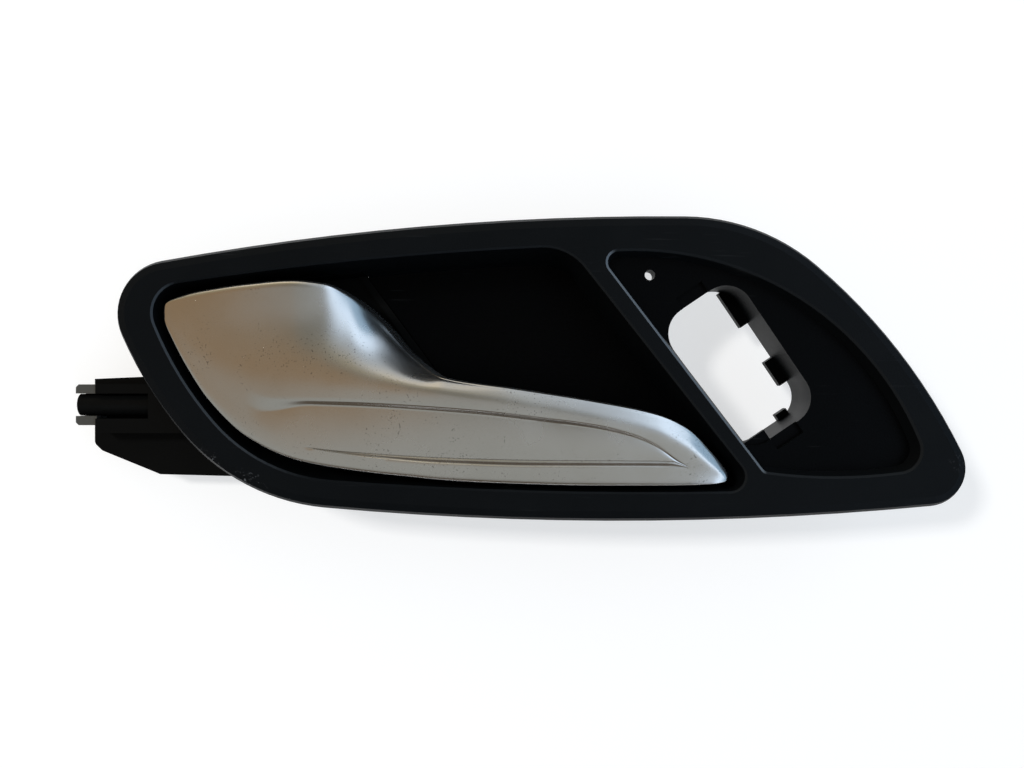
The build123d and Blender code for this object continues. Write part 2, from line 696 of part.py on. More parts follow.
def lever_section(row):
    x, low, high = row[:3]
    front = lever_front(row)
    lip, groove, crease = [eased(line, x) for line in (GROOVE_LOW, GROOVE_TOP, PANEL_TOP)]
    step = min(CREASE, (crease - groove) / 3)
    panel = eased(PANEL_DEPTH, x)
    cuts = [(between(low, lip, share), 0) for share in LIP_SPOTS]
    cuts += [(lip, 0), (between(lip, groove, GROOVE_BED), eased(GROOVE_DEPTH, x)), (groove, 0)]
    cuts += [(crease - step, panel), (crease, 0)]
    cuts += [(between(crease, high, share), 0) for share in CREST_SPOTS]
    points = [(y, height(front, y) - depth) for y, depth in cuts]
    start, end = front @ 0, front @ 1
    ring = [(low, LEVER_BACK), (start.X, start.Y), *points, (end.X, end.Y), (high, LEVER_BACK)]
    return [(x, y, z) for y, z in ring]


def cavity_section(row, wall):
    x, low, high = row[:3]
    front = lever_front(row)
    steep = min(max((-row[-1] - 7) / 14, 0), 1)
    near, far = low + wall, high - wall * (1 + steep)
    drop = wall + eased(PANEL_DEPTH, x)
    spots = [between(near, far, share) for share in CAVITY_SPOTS]
    points = [(y, height(front, y) - drop) for y in spots]
    ring = [(near, LEVER_BACK - OVER), *points, (far, LEVER_BACK - OVER)]
    return [(x, y, z) for y, z in ring]


def facets(near, far):
    faces = []
    for i in range(len(near)):
        faces.append(Face(Wire.make_polygon([near[i - 1], far[i - 1], far[i]])))
        faces.append(Face(Wire.make_polygon([near[i - 1], far[i], near[i]])))
    return faces


def faceted(rings):
    faces = [Face(Wire.make_polygon(rings[0])), Face(Wire.make_polygon(rings[-1]))]
    for near, far in zip(rings, rings[1:]):
        faces += facets(near, far)
    return Solid(Shell(faces))


def lever_spots():
    spots = [LEVER_STATIONS[0][0]]
    for row in LEVER_STATIONS[1:]:
        if row[0] - spots[-1] > LEVER_STRIDE:
            spots.append((spots[-1] + row[0]) / 2)
        spots.append(row[0])
    return spots


def lever_blank():
    return faceted([lever_section(lever_row(x)) for x in lever_spots()])


def lever_cavity(wall):
    left = LEVER_STATIONS[0][0] + 1.6 * wall
    right = LEVER_STATIONS[-1][0] - 2.6 * wall
    spots = [left] + [row[0] for row in LEVER_STATIONS if left + wall < row[0] < right - wall] + [right]
    return faceted([cavity_section(lever_row(x), wall) for x in spots])


def lever_trim():
    left, right = TRIM_ENDS
    low = block(TRIM_ENDS, (TRIM_SIDES[0], FLANK_LOW_Y), (MOUNT_Z, LEVER_CUT_Z))
    back = Polyline(
        (right, LEVER_CUT_Z),
        (FLANK_STEPS[0], LEVER_CUT_Z),
        (FLANK_STEPS[1], FLANK_CUT_Z),
        (FLANK_STEPS[2], FLANK_CUT_Z),
        (FLANK_STEPS[3], HUB_CUT_Z),
        (left, HUB_CUT_Z),
        (left, MOUNT_Z),
        (right, MOUNT_Z),
        close=True,
    )
    return low + side_slab(make_face(back), (FLANK_LOW_Y, TRIM_SIDES[1]))


def make_lever_skin():
    skin = lever_blank() - lever_cavity(LEVER_WALL)
    inside = lever_cavity(LEVER_WALL / 2)
    for at in CORE_SCREWS:
        skin += post(at, CORE_BOSS, (LEVER_CUT_Z + CORE_PLATE, RIM_Z + 8)) & inside
        skin -= rod_z(at, SCREW_RADIUS, (LEVER_CUT_Z, LEVER_CUT_Z + CORE_SCREW_LENGTH + 0.5))
    return skin - lever_trim()


def crank():
    eye = (HINGE_X, CABLE_Z)
    root = Polyline(
        (CORE_LEFT, LEVER_CUT_Z + CORE_PLATE),
        (CORE_LEFT - 1, LEVER_CUT_Z - 2),
        (HINGE_X - CRANK_EYE, CABLE_Z),
        (HINGE_X + CRANK_EYE, CABLE_Z),
        (CORE_LEFT + 8, LEVER_CUT_Z),
        (CORE_LEFT + 8, LEVER_CUT_Z + CORE_PLATE),
        close=True,
    )
    y = (CABLE_Y - CRANK_THICK / 2, CABLE_Y + CRANK_THICK / 2)
    arm = side_slab(make_face(root), y) + rod_y(eye, CRANK_EYE, y)
    arm -= rod_y(eye, NIPPLE_RADIUS, (y[0] + OVER / 2, y[1] + OVER))
    slot = (CABLE_Y - NIPPLE_SLOT / 2, y[1] + OVER)
    return arm - block((HINGE_X - 2 * CRANK_EYE, HINGE_X), slot, (CABLE_Z - NIPPLE_SLOT / 2, CABLE_Z + NIPPLE_SLOT / 2))


def make_lever_core():
    inside = lever_cavity(LEVER_WALL + CORE_GAP)
    plan = make_face(Polyline(*CORE_LOW, *CORE_HIGH, close=True))
    body = slab(plan, (LEVER_CUT_Z, LEVER_CUT_Z + CORE_PLATE))
    spring_y = COIL_Y + COIL_RISE
    pad_z = HINGE_Z + COIL_RADIUS - 1.42 * WIRE_RADIUS
    body += block((CORE_LEFT, CORE_LEFT + 8), (spring_y - 2, spring_y + 2), (LEVER_CUT_Z, pad_z))
    body &= inside
    body += block((HINGE_X, CORE_LEFT + 4), (spring_y + 2, BARREL_HIGH - RUN_GAP), (HINGE_Z - 2.5, HINGE_Z + 2.5))
    body += rod_y((HINGE_X, HINGE_Z), BARREL_RADIUS, (BARREL_LOW, BARREL_HIGH))
    body += crank()
    body -= rod_y((HINGE_X, HINGE_Z), BUSH_RADIUS, (BARREL_LOW - OVER, BARREL_HIGH + OVER))
    for at in CORE_SCREWS:
        body -= rod_z(at, SCREW_CLEAR, (MOUNT_Z, RIM_Z))
    return body


def make_core_screws():
    return Compound([screw(at, LEVER_CUT_Z, CORE_SCREW_LENGTH, SCREW_RADIUS).solid() for at in CORE_SCREWS])


def bush(y):
    at = (HINGE_X, HINGE_Z)
    return rod_y(at, BUSH_RADIUS, y) - rod_y(at, PIN_RADIUS + PIN_FIT, (y[0] - OVER, y[1] + OVER))


def make_upper_bush():
    return bush((BARREL_HIGH - BUSH_LENGTH, BARREL_HIGH))


def make_lower_bush():
    return bush((BARREL_LOW, BARREL_LOW + BUSH_LENGTH))


PARTS = {
    "bezel": make_bezel,
    "hinge_base": make_hinge_base,
    "base_screws": make_base_screws,
    "cable_retainer": make_cable_retainer,
    "pivot_pin": make_pivot_pin,
    "pin_clip": make_pin_clip,
    "rest_bumper": make_rest_bumper,
    "travel_bumper": make_travel_bumper,
    "return_spring": make_return_spring,
    "trim_clips": make_trim_clips,
    "foam_pad": make_foam_pad,
    "lever_skin": make_lever_skin,
    "lever_core": make_lever_core,
    "core_screws": make_core_screws,
    "upper_bush": make_upper_bush,
    "lower_bush": make_lower_bush,
}


def main():
    os.makedirs("parts", exist_ok=True)
    for name, make in PARTS.items():
        export_step(Rot(90, 0, 0) * make(), f"parts/{name}.step")


main()
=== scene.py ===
"""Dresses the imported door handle: its lever face and return spring, its finishes, and a plain stage."""

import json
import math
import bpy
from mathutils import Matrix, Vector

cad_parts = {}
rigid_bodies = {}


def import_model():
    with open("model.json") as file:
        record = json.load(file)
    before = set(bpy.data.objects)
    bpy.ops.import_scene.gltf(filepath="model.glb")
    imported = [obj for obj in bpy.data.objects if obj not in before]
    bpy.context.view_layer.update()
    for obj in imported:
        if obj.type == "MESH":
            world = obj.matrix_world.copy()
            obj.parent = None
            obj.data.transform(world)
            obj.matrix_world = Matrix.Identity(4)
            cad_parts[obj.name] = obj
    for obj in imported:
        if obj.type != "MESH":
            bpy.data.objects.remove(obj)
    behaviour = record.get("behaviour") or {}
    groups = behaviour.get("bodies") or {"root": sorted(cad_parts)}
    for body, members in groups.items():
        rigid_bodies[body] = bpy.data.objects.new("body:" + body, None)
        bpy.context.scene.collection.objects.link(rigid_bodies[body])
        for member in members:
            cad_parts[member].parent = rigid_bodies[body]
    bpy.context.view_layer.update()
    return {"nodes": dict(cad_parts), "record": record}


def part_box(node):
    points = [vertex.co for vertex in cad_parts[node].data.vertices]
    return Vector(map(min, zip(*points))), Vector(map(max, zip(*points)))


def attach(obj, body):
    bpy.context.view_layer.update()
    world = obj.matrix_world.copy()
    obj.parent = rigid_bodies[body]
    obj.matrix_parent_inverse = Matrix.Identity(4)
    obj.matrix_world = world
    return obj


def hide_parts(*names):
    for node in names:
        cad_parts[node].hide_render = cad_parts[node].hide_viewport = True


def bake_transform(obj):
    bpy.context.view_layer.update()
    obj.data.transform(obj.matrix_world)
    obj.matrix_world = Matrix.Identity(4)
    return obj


bl_info = {
    "name": "Car interior door handle",
    "version": (1, 0, 0),
    "blender": (4, 5, 0),
    "location": "3D View > Sidebar > Door handle",
    "description": "Finishes a car interior door handle with its lever face, spring, plastics and metals",
    "category": "Object",
}

from collections import namedtuple

import bmesh
import bpy
import numpy as np
from bpy.props import FloatProperty, FloatVectorProperty, IntProperty, PointerProperty
from mathutils import Vector


def clear_start_file():
    """Takes out the objects that a new file holds."""
    for thing in list(bpy.data.objects):
        bpy.data.objects.remove(thing)


clear_start_file()
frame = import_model()
NODES = frame["nodes"]
MM = 0.001
TO_FRONT = Vector((0.0, -1.0, 0.0))

# How far the rim face stands before the rear mounting face, and the most that the lever's low and top
# edges are rounded, in mm.
RIM_FACE = 38.0
LOW_EDGE = 0.25
TOP_EDGE = 1.0
# The lever's rows, in mm: x, low edge, high edge, crest line, then heights over the rim face of the
# low edge, crest, shoulder, top edge and the end of the top side.
LEVER_ROWS = (
    (-92.4, 30.8, 32.2, 31.5, -0.9, -0.8, -0.8, -0.9, -4.0),
    (-92.1, 29.6, 33.4, 31.4, -0.3, -0.2, -0.2, -0.3, -3.4),
    (-91.4, 27.7, 34.4, 31.0, 0.1, 0.2, 0.2, 0.1, -3.0),
    (-90.0, 24.7, 35.3, 29.6, 0.3, 0.4, 0.4, 0.3, -2.8),
    (-86.0, 17.2, 36.8, 25.0, 0.7, 1.0, 1.0, 0.8, -2.6),
    (-80.0, 8.2, 38.0, 19.5, 1.0, 1.4, 1.2, 1.1, -2.4),
    (-70.0, -1.4, 39.4, 15.5, 1.2, 1.9, 1.1, 1.4, -2.4),
    (-58.0, -7.2, 40.4, 14.2, 1.5, 2.5, 0.8, 1.1, -3.0),
    (-50.0, -9.0, 39.8, 13.7, 1.7, 3.0, 0.1, 0.0, -7.0),
    (-43.0, -10.1, 36.6, 13.2, 1.8, 3.5, -1.0, -2.8, -14.0),
    (-35.0, -11.1, 29.6, 12.6, 2.0, 4.0, -1.9, -7.6, -20.0),
    (-27.0, -11.9, 20.6, 11.8, 2.1, 4.5, 0.4, -6.5, -18.0),
    (-18.0, -12.8, 14.5, 10.2, 2.2, 4.8, 3.9, 2.0, -10.0),
    (0.0, -13.7, 11.7, 7.2, 2.3, 5.0, 4.5, 3.4, -7.0),
    (22.0, -14.2, 8.2, 3.6, 2.3, 4.8, 4.2, 3.2, -7.0),
    (38.0, -14.2, 4.9, 0.0, 2.2, 4.4, 3.7, 2.8, -7.0),
    (46.0, -14.1, 1.3, -3.8, 2.1, 3.9, 3.2, 2.4, -7.0),
    (52.6, -13.8, -5.2, -8.8, 1.8, 2.9, 2.4, 1.6, -7.0),
    (56.3, -13.2, -9.8, -11.6, 1.0, 1.6, 1.3, 0.5, -7.0),
    (57.2, -12.6, -11.0, -11.9, -1.0, -0.8, -0.9, -1.6, -7.0),
)
# Lines of the relief as x, y in mm, and how deep it is along x as a share of the full depth.
PANEL_TOP = ((-92.4, 32.0), (-80.0, 19.0), (-61.9, 9.0), (-36.0, 7.9), (-10.0, 6.1), (6.1, 4.3),
             (22.5, 2.1), (31.4, -0.2), (37.4, -2.9), (43.4, -7.2), (46.4, -8.9), (57.2, -11.6))
GROOVE_TOP = ((-92.4, 31.2), (-80.0, 11.5), (-61.9, -1.4), (-52.9, -4.0), (-36.0, -5.6), (-18.2, -6.6),
              (6.1, -7.25), (41.0, -7.5), (46.4, -9.1), (57.2, -11.9))
GROOVE_LOW = ((-92.4, 30.8), (-80.0, 10.4), (-61.9, -2.0), (-52.9, -4.3), (-34.4, -6.9), (-18.2, -8.3),
              (6.1, -9.1), (41.0, -9.2), (46.4, -9.4), (57.2, -12.2))
PANEL_SHARE = ((-70.0, 0.0), (-58.0, 0.4), (-40.0, 0.65), (-10.0, 0.9), (6.0, 1.0), (22.0, 0.85),
               (34.0, 0.5), (41.0, 0.22), (46.4, 0.0))
PANEL_HOLLOW = 2.0
# The least room between two lines of the relief, in mm, so that they never cross.
RELIEF_GAP = 0.2
GROOVE_SHARE = ((-54.0, 0.0), (-50.0, 0.7), (-42.0, 1.0), (39.0, 1.0), (46.4, 0.0))
CREASE_SPREAD = ((-72.0, 5.0), (-62.0, 2.5), (-52.0, 1.0), (22.0, 0.9), (38.0, 0.5), (46.4, 0.25),
                 (57.2, 0.2))
# The groove's section: share of its width from the lip up, and share of its depth.
GROOVE_SECTION = (
    (0.0, 0.0),
    (0.04, 0.08),
    (0.14, 0.5),
    (0.24, 0.92),
    (0.29, 1.0),
    (0.36, 0.88),
    (0.50, 0.56),
    (0.62, 0.26),
    (0.68, 0.2),
    (0.74, 0.32),
    (0.84, 0.66),
    (0.92, 0.94),
    (0.96, 0.98),
    (1.0, 0.75),
    (1.05, 0.2),
)
# The hinge base's thin lip that closes the slit behind the cup's floor: the ends of its line as x, y in mm,
# its reach to both sides of that line, and its rear and front faces.
LIP_ENDS = ((-42.9, 43.6), (-21.7, 16.0))
LIP_REACH = (-0.6, 1.6)
LIP_FACES = (6.7, 7.45)
# Chips on the bezel's outer edge: the spot and reach in metres, and how strong they are.
CHIPS = (
    ((-0.0815, -0.034, -0.0085), 0.006, 1.0),
    ((-0.0705, -0.034, -0.0150), 0.007, 1.0),
    ((-0.0590, -0.034, -0.0190), 0.004, 1.0),
    ((0.1180, -0.034, -0.0080), 0.005, 0.4),
)
# The lever's rear edge as x, depth in mm, above and below the line where its hub begins.
HUB_LINE = 8.0
LOW_CUT = 30.5
HIGH_CUT = ((-92.4, 29.0), (-53.0, 29.0), (-46.0, 14.0), (-21.0, 14.0), (-17.0, 30.5), (56.3, 30.5))
# The poles of a section's front line, how finely the lever's sections are drawn, and the steps of the
# rise at the upper crease.
FRONT_POLES = 12
FRONT_SAMPLES = 900
LIP_POINTS = 14
PANEL_POINTS = 25
CREST_POINTS = 64
SIDE_POINTS = 6
RISE_STEPS = (0.0, 0.12, 0.3, 0.5, 0.7, 0.88)
# How thin the lever's wall is at its two ends, as a share, and the length over which it grows, in mm.
END_WALL = 0.3
END_TAPER = 12.0
# Edges steeper than these angles stay sharp, in degrees.
LEVER_SHARP = 28.0
WIRE_SHARP = 50.0
# The return spring's coil round the hinge: the radius of its middle line and its rise in a turn, in mm, how
# many turns it has, how far its free leg leans on to the lever's pad, in mm, and how finely it is drawn.
HINGE = Vector(frame["record"]["behaviour"]["joints"][0]["pos_m"])
COIL_RADIUS = 4.95
COIL_RISE = 1.4
COIL_TURNS = 2.25
LEG_LEAN = 0.2
POINTS_IN_TURN = 28
WIRE_SIDES = 12


class DoorHandleSizes(bpy.types.PropertyGroup):
    """Sizes of the lever's face and the return spring."""

    panel_depth: FloatProperty(
        name="Panel depth",
        description="How far the long panel of the lever sinks below the crest at its upper crease",
        default=1.1 * MM,
        min=0.0,
        max=2.0 * MM,
        unit="LENGTH",
        precision=5,
    )
    groove_depth: FloatProperty(
        name="Groove depth",
        description="Depth of the groove between the panel and the lower lip",
        default=0.32 * MM,
        min=0.0,
        max=2.0 * MM,
        unit="LENGTH",
        precision=5,
    )
    crease_width: FloatProperty(
        name="Crease width",
        description="Width of the step along the upper crease",
        default=1.3 * MM,
        min=0.1 * MM,
        max=2.0 * MM,
        unit="LENGTH",
        precision=5,
    )
    lever_wall: FloatProperty(
        name="Lever wall",
        description="Wall thickness of the lever's shell",
        default=1.9 * MM,
        min=0.3 * MM,
        max=3.0 * MM,
        unit="LENGTH",
        precision=5,
    )
    spring_wire: FloatProperty(
        name="Spring wire",
        description="Thickness of the return spring's round wire",
        default=1.0 * MM,
        min=0.4 * MM,
        max=1.4 * MM,
        unit="LENGTH",
        precision=5,
    )
    lever_columns: IntProperty(
        name="Lever columns",
        description="How many sections the lever's face has along its length",
        default=220,
        min=40,
        max=600,
    )


def paint(label, words, colour):
    """A colour that a user may change."""
    return FloatVectorProperty(
        name=label, description=words, default=colour, size=3, min=0.0, max=1.0, subtype="COLOR"
    )


class DoorHandleColours(bpy.types.PropertyGroup):
    """Colours of the finishes."""

    bezel: paint("Bezel", "Grained black of the bezel", (0.0040, 0.0048, 0.0056))
    # Painted shade: a darker black laid on the floors of the cup and pocket.
    recess_shade: paint("Recesses", "Deeper black of the cup and pocket floors", (0.0005, 0.0006, 0.0008))
    base: paint("Hinge base", "Charcoal of the hinge base and cable bracket", (0.0036, 0.0038, 0.0038))
    retainer: paint("Cable retainer", "Grey of the cable retainer", (0.055, 0.055, 0.050))
    lever: paint("Lever", "Satin silver of the lever", (0.60, 0.59, 0.57))
    core: paint("Lever core", "Black of the plate inside the lever", (0.012, 0.012, 0.012))
    bush: paint("Bushes", "Natural acetal of the hinge bushes", (0.72, 0.70, 0.63))
    steel: paint("Pin", "Bright steel of the pivot pin", (0.58, 0.58, 0.59))
    zinc: paint("Screws", "Zinc plate of the screws", (0.52, 0.50, 0.43))
    spring: paint("Spring steel", "Oiled steel of the spring and the clips", (0.20, 0.20, 0.21))
    rubber: paint("Bumpers", "Black of the rubber bumpers", (0.012, 0.012, 0.012))
    foam: paint("Foam", "Black of the foam pad", (0.018, 0.018, 0.02))
    dust: paint("Dust", "Pale dust on the dark plastics", (0.20, 0.20, 0.19))
    # Painted highlight: a pale line laid along the bevels of the cup and the pocket.
    edge: paint("Bright edges", "Burnished bevels of the cup and the pocket", (0.11, 0.125, 0.14))
    scuff: paint("Chips", "Pale chips on the bezel's outer edge", (0.20, 0.21, 0.22))


class DoorHandleStage(bpy.types.PropertyGroup):
    """The backdrop, lights and camera."""

    backdrop: paint("Backdrop", "Colour of the pale surface behind the handle", (0.50, 0.50, 0.50))
    key_power: FloatProperty(
        name="Key light",
        description="Power of the small light from the upper left",
        default=9.0,
        min=0.0,
        unit="POWER",
    )
    lens: FloatProperty(
        name="Lens",
        description="Focal length of the camera, in millimetres",
        default=34.55,
        min=10.0,
        max=200.0,
    )
    camera_distance: FloatProperty(
        name="Camera distance",
        description="Distance of the camera from the rear mounting face",
        default=0.298,
        min=0.1,
        max=3.0,
        unit="LENGTH",
    )


# Shapes


def slope(before, at, after):
    """Slope of an eased line at one of its points."""
    first = (at[1] - before[1]) / (at[0] - before[0])
    second = (after[1] - at[1]) / (after[0] - at[0])
    return 2.0 * first * second / (first + second) if first * second > 0.0 else 0.0


def eased(points, x):
    """Height at x of a smooth line through the points, with no overshoot."""
    last = len(points) - 1
    i = max(k for k in range(last) if points[k][0] <= x or k == 0)
    a, b = points[i], points[i + 1]
    run = b[0] - a[0]
    t = min(max((x - a[0]) / run, 0.0), 1.0)
    chord = (b[1] - a[1]) / run
    leave = slope(points[i - 1], a, b) if i > 0 else chord
    arrive = slope(a, b, points[i + 2]) if i + 1 < last else chord
    flat = a[1] * (1.0 + 2.0 * t) * (1.0 - t) ** 2 + b[1] * t * t * (3.0 - 2.0 * t)
    return flat + run * t * (1.0 - t) * (leave * (1.0 - t) - arrive * t)


def straight(points, x):
    """Height at x of a line with straight pieces."""
    return float(np.interp(x, [p[0] for p in points], [p[1] for p in points]))


def spline_weights(count, samples):
    """Weights of the poles of an open cubic spline, one row for each sample."""
    knots = [0.0] * 3 + [float(k) for k in range(count - 2)] + [count - 3.0] * 3
    spots = np.linspace(0.0, count - 3.0 - 1e-9, samples)
    weights = np.array([[float(a <= t < b) for a, b in zip(knots, knots[1:])] for t in spots])
    for degree in range(1, 4):
        wider = np.zeros((samples, len(knots) - 1 - degree))
        for i in range(wider.shape[1]):
            before = knots[i + degree] - knots[i]
            after = knots[i + degree + 1] - knots[i + 1]
            if before > 0.0:
                wider[:, i] += (spots - knots[i]) / before * weights[:, i]
            if after > 0.0:
                wider[:, i] += (knots[i + degree + 1] - spots) / after * weights[:, i + 1]
        weights = wider
    return weights


def lever_row(x):
    """The lever's row of sizes at x."""
    return [x] + [eased([(row[0], row[c]) for row in LEVER_ROWS], x) for c in range(1, len(LEVER_ROWS[0]))]


def front_poles(row):
    """Poles of the lever's front line across one section, as y and height over the rim face."""
    low, high, crest, h_low, h_crest, h_shoulder, h_edge, h_end = row[1:]
    reach = high - crest
    rise = 0.4 * (crest - low)
    lip = min(LOW_EDGE, rise / 2.0)
    brow = min(TOP_EDGE, 0.1 * reach)
    hold = min(2.2 * brow, 0.15 * reach)
    return np.array(
        [
            (low, h_low - 3.0),
            (low, h_low - lip),
            (low + lip, h_low + 0.1),
            (low + rise, h_low + 0.4 * (h_crest - h_low)),
            (crest - 0.25 * rise, h_crest),
            (crest + 0.15 * reach, h_crest),
            (crest + 0.5 * reach, h_shoulder),
            (crest + 0.78 * reach, h_shoulder + 0.6 * (h_edge - h_shoulder)),
            (high - hold, h_edge + 0.1 * (h_shoulder - h_edge)),
            (high - brow, h_edge),
            (high, h_edge - brow),
            (high, h_end),
        ]
    )


def rear_cut(x, y):
    """Depth of the lever's rear edge at one spot."""
    return LOW_CUT if y < HUB_LINE else straight(HIGH_CUT, x)


def lever_section(x, weights, sizes):
    """Points across the lever at x as y, z, from its lower rear edge over the face to its upper one."""
    row = lever_row(x)
    low, high = row[1], row[2]
    line = weights @ front_poles(row)
    spots = np.linspace(0.0, 1.0, len(line))
    climb = line[:, 0] + np.linspace(0.0, 1e-6, len(line))
    groove_low, groove_top, panel_top = [eased(p, x) for p in (GROOVE_LOW, GROOVE_TOP, PANEL_TOP)]
    groove_top = max(groove_top, groove_low + RELIEF_GAP)
    panel_top = max(panel_top, groove_top + RELIEF_GAP)
    panel = sizes.panel_depth / MM * eased(PANEL_SHARE, x)
    groove = sizes.groove_depth / MM * eased(GROOVE_SHARE, x)
    step = min(sizes.crease_width / MM * eased(CREASE_SPREAD, x), 0.5 * (panel_top - groove_top))

    def at(y):
        return np.interp(y, climb, spots)

    def front(ts):
        return np.column_stack([np.interp(ts, spots, line[:, 0]), np.interp(ts, spots, line[:, 1])])

    def sunk(ys, depths):
        points = front(at(np.array(ys)))
        points[:, 1] -= depths
        return points

    lip = front(np.linspace(0.0, at(groove_low), LIP_POINTS, endpoint=False))
    shares, bites = np.array(GROOVE_SECTION).T
    gutter = sunk(groove_low + (groove_top - groove_low) * shares, groove * bites)
    climbing = np.linspace(0.0, 1.0, PANEL_POINTS, endpoint=False)
    foot_line = groove_top + 0.1 * (groove_top - groove_low)
    sheet = sunk(foot_line + (panel_top - step - foot_line) * climbing, panel * climbing**PANEL_HOLLOW)
    rising = np.array(RISE_STEPS)
    riser = sunk(panel_top - step + step * rising, panel * (1.0 - rising * rising * (3.0 - 2.0 * rising)))
    crest = front(np.linspace(at(panel_top), 1.0, CREST_POINTS))
    face = np.vstack([lip, gutter, sheet, riser, crest])
    face[:, 1] += RIM_FACE
    shares = np.linspace(0.0, 1.0, SIDE_POINTS, endpoint=False)
    low_cut = min(rear_cut(x, low), face[0, 1])
    high_cut = min(rear_cut(x, high), face[-1, 1])
    foot = np.column_stack([np.full(SIDE_POINTS, low), low_cut + (face[0, 1] - low_cut) * shares])
    back = np.column_stack([np.full(SIDE_POINTS, high), high_cut + (face[-1, 1] - high_cut) * shares])[::-1]
    return np.vstack([foot, face, back])


def lever_stations(count):
    """Spots along the lever, closer together towards both ends."""
    u = np.linspace(0.0, 1.0, count)
    left, right = LEVER_ROWS[0][0], LEVER_ROWS[-1][0]
    return left + (right - left) * (u - 0.1 * np.sin(2.0 * math.pi * u))


def lever_face_mesh(sizes):
    """The lever's outer skin as a capped grid. Returns it, its stations and how many points each has."""
    weights = spline_weights(FRONT_POLES, FRONT_SAMPLES)
    xs = lever_stations(sizes.lever_columns)
    sections = [lever_section(x, weights, sizes) for x in xs]
    rows = len(sections[0])
    points = [(x * MM, -z * MM, y * MM) for x, section in zip(xs, sections) for y, z in section]
    quads = []
    for i in range(len(xs) - 1):
        for j in range(rows - 1):
            a = i * rows + j
            quads.append((a, a + rows, a + rows + 1, a + 1))
    last = (len(xs) - 1) * rows
    caps = [tuple(range(rows)), tuple(last + j for j in reversed(range(rows)))]
    mesh = bpy.data.meshes.new("lever_face")
    mesh.from_pydata(points, [], quads + caps)
    mesh.validate()
    return mesh, xs, rows


def base_lip_mesh():
    """A flat strip behind the cup's floor, along the hinge base's slanted side."""
    (x0, y0), (x1, y1) = LIP_ENDS
    long = math.hypot(x1 - x0, y1 - y0)
    across = ((y0 - y1) / long, (x1 - x0) / long)
    points = []
    for depth in LIP_FACES:
        for x, y, reach in ((x0, y0, 0), (x0, y0, 1), (x1, y1, 1), (x1, y1, 0)):
            side = LIP_REACH[reach]
            points.append(((x + across[0] * side) * MM, -depth * MM, (y + across[1] * side) * MM))
    walls = [(i, (i + 1) % 4, 4 + (i + 1) % 4, 4 + i) for i in range(4)]
    mesh = bpy.data.meshes.new("base_lip")
    mesh.from_pydata(points, [], [(0, 1, 2, 3), (4, 5, 6, 7)] + walls)
    mesh.validate()
    return mesh


def spring_line(wire):
    """The return spring's middle line: its straight foot, its coil, and its leg on the lever's pad."""
    low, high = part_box("return_spring")
    floor = low[2] + wire / 2.0
    line = [Vector((HINGE.x - COIL_RADIUS * MM, high[1], floor))]
    for k in range(round(COIL_TURNS * POINTS_IN_TURN) + 1):
        turn = k / POINTS_IN_TURN
        angle = 2.0 * math.pi * turn
        across = COIL_RADIUS * MM * math.cos(angle)
        ahead = COIL_RADIUS * MM * math.sin(angle)
        line.append(Vector((HINGE.x - across, HINGE.y - ahead, floor + COIL_RISE * MM * turn)))
    line.append(Vector((high[0], line[-1].y + LEG_LEAN * MM, line[-1].z)))
    return line


def round_wire_mesh(name, line, wire):
    """A round wire along a line that never runs straight up, closed at both ends."""
    points = []
    for i, spot in enumerate(line):
        way = (line[min(i + 1, len(line) - 1)] - line[max(i - 1, 0)]).normalized()
        side = way.cross(Vector((0.0, 0.0, 1.0))).normalized()
        top = side.cross(way)
        for k in range(WIRE_SIDES):
            angle = 2.0 * math.pi * k / WIRE_SIDES
            points.append(spot + wire / 2.0 * (math.cos(angle) * side + math.sin(angle) * top))
    faces = [tuple(range(WIRE_SIDES)), tuple(len(points) - 1 - k for k in range(WIRE_SIDES))]
    for i in range(len(line) - 1):
        for k in range(WIRE_SIDES):
            a = i * WIRE_SIDES + k
            b = i * WIRE_SIDES + (k + 1) % WIRE_SIDES
            faces.append((a, b, b + WIRE_SIDES, a + WIRE_SIDES))
    mesh = bpy.data.meshes.new(name)
    mesh.from_pydata(points, [], faces)
    mesh.validate()
    return mesh


def turn_outwards(mesh, spot, way):
    """Turns the faces so that the one nearest the spot looks the given way."""
    shape = bmesh.new()
    shape.from_mesh(mesh)
    bmesh.ops.recalc_face_normals(shape, faces=shape.faces)
    nearest = min(shape.faces, key=lambda face: (face.calc_center_median() - spot).length)
    if nearest.normal.dot(way) < 0.0:
        bmesh.ops.reverse_faces(shape, faces=shape.faces)
    shape.to_mesh(mesh)
    shape.free()


def smooth_with_edges(mesh, degrees):
    """Smooth shading, with the edges steeper than the angle left sharp."""
    mesh.polygons.foreach_set("use_smooth", [True] * len(mesh.polygons))
    mesh.set_sharp_from_angle(angle=math.radians(degrees))


def put_in_scene(name, mesh):
    """A new object for a mesh, linked to the scene."""
    thing = bpy.data.objects.new(name, mesh)
    bpy.context.scene.collection.objects.link(thing)
    return thing


# Finishes


def node(tree, kind, values=None, **settings):
    """A new node with its settings and the values of its sockets."""
    made = tree.nodes.new(kind)
    for key, value in settings.items():
        setattr(made, key, value)
    for socket, value in (values or {}).items():
        made.inputs[socket].default_value = value
    return made


def math_node(tree, operation, first, second, clamp=False):
    """A Math node whose two inputs are numbers or sockets."""
    made = node(tree, "ShaderNodeMath", operation=operation, use_clamp=clamp)
    for socket, value in zip(made.inputs, (first, second)):
        if isinstance(value, (int, float)):
            socket.default_value = value
        else:
            tree.links.new(value, socket)
    return made.outputs[0]


def ramp(tree, value, start, end, low=0.0, high=1.0):
    """A smooth step of a value from start to end."""
    made = node(tree, "ShaderNodeMapRange", interpolation_type="SMOOTHSTEP")
    tree.links.new(value, made.inputs["Value"])
    for socket, number in (("From Min", start), ("From Max", end), ("To Min", low), ("To Max", high)):
        made.inputs[socket].default_value = number
    return made.outputs["Result"]


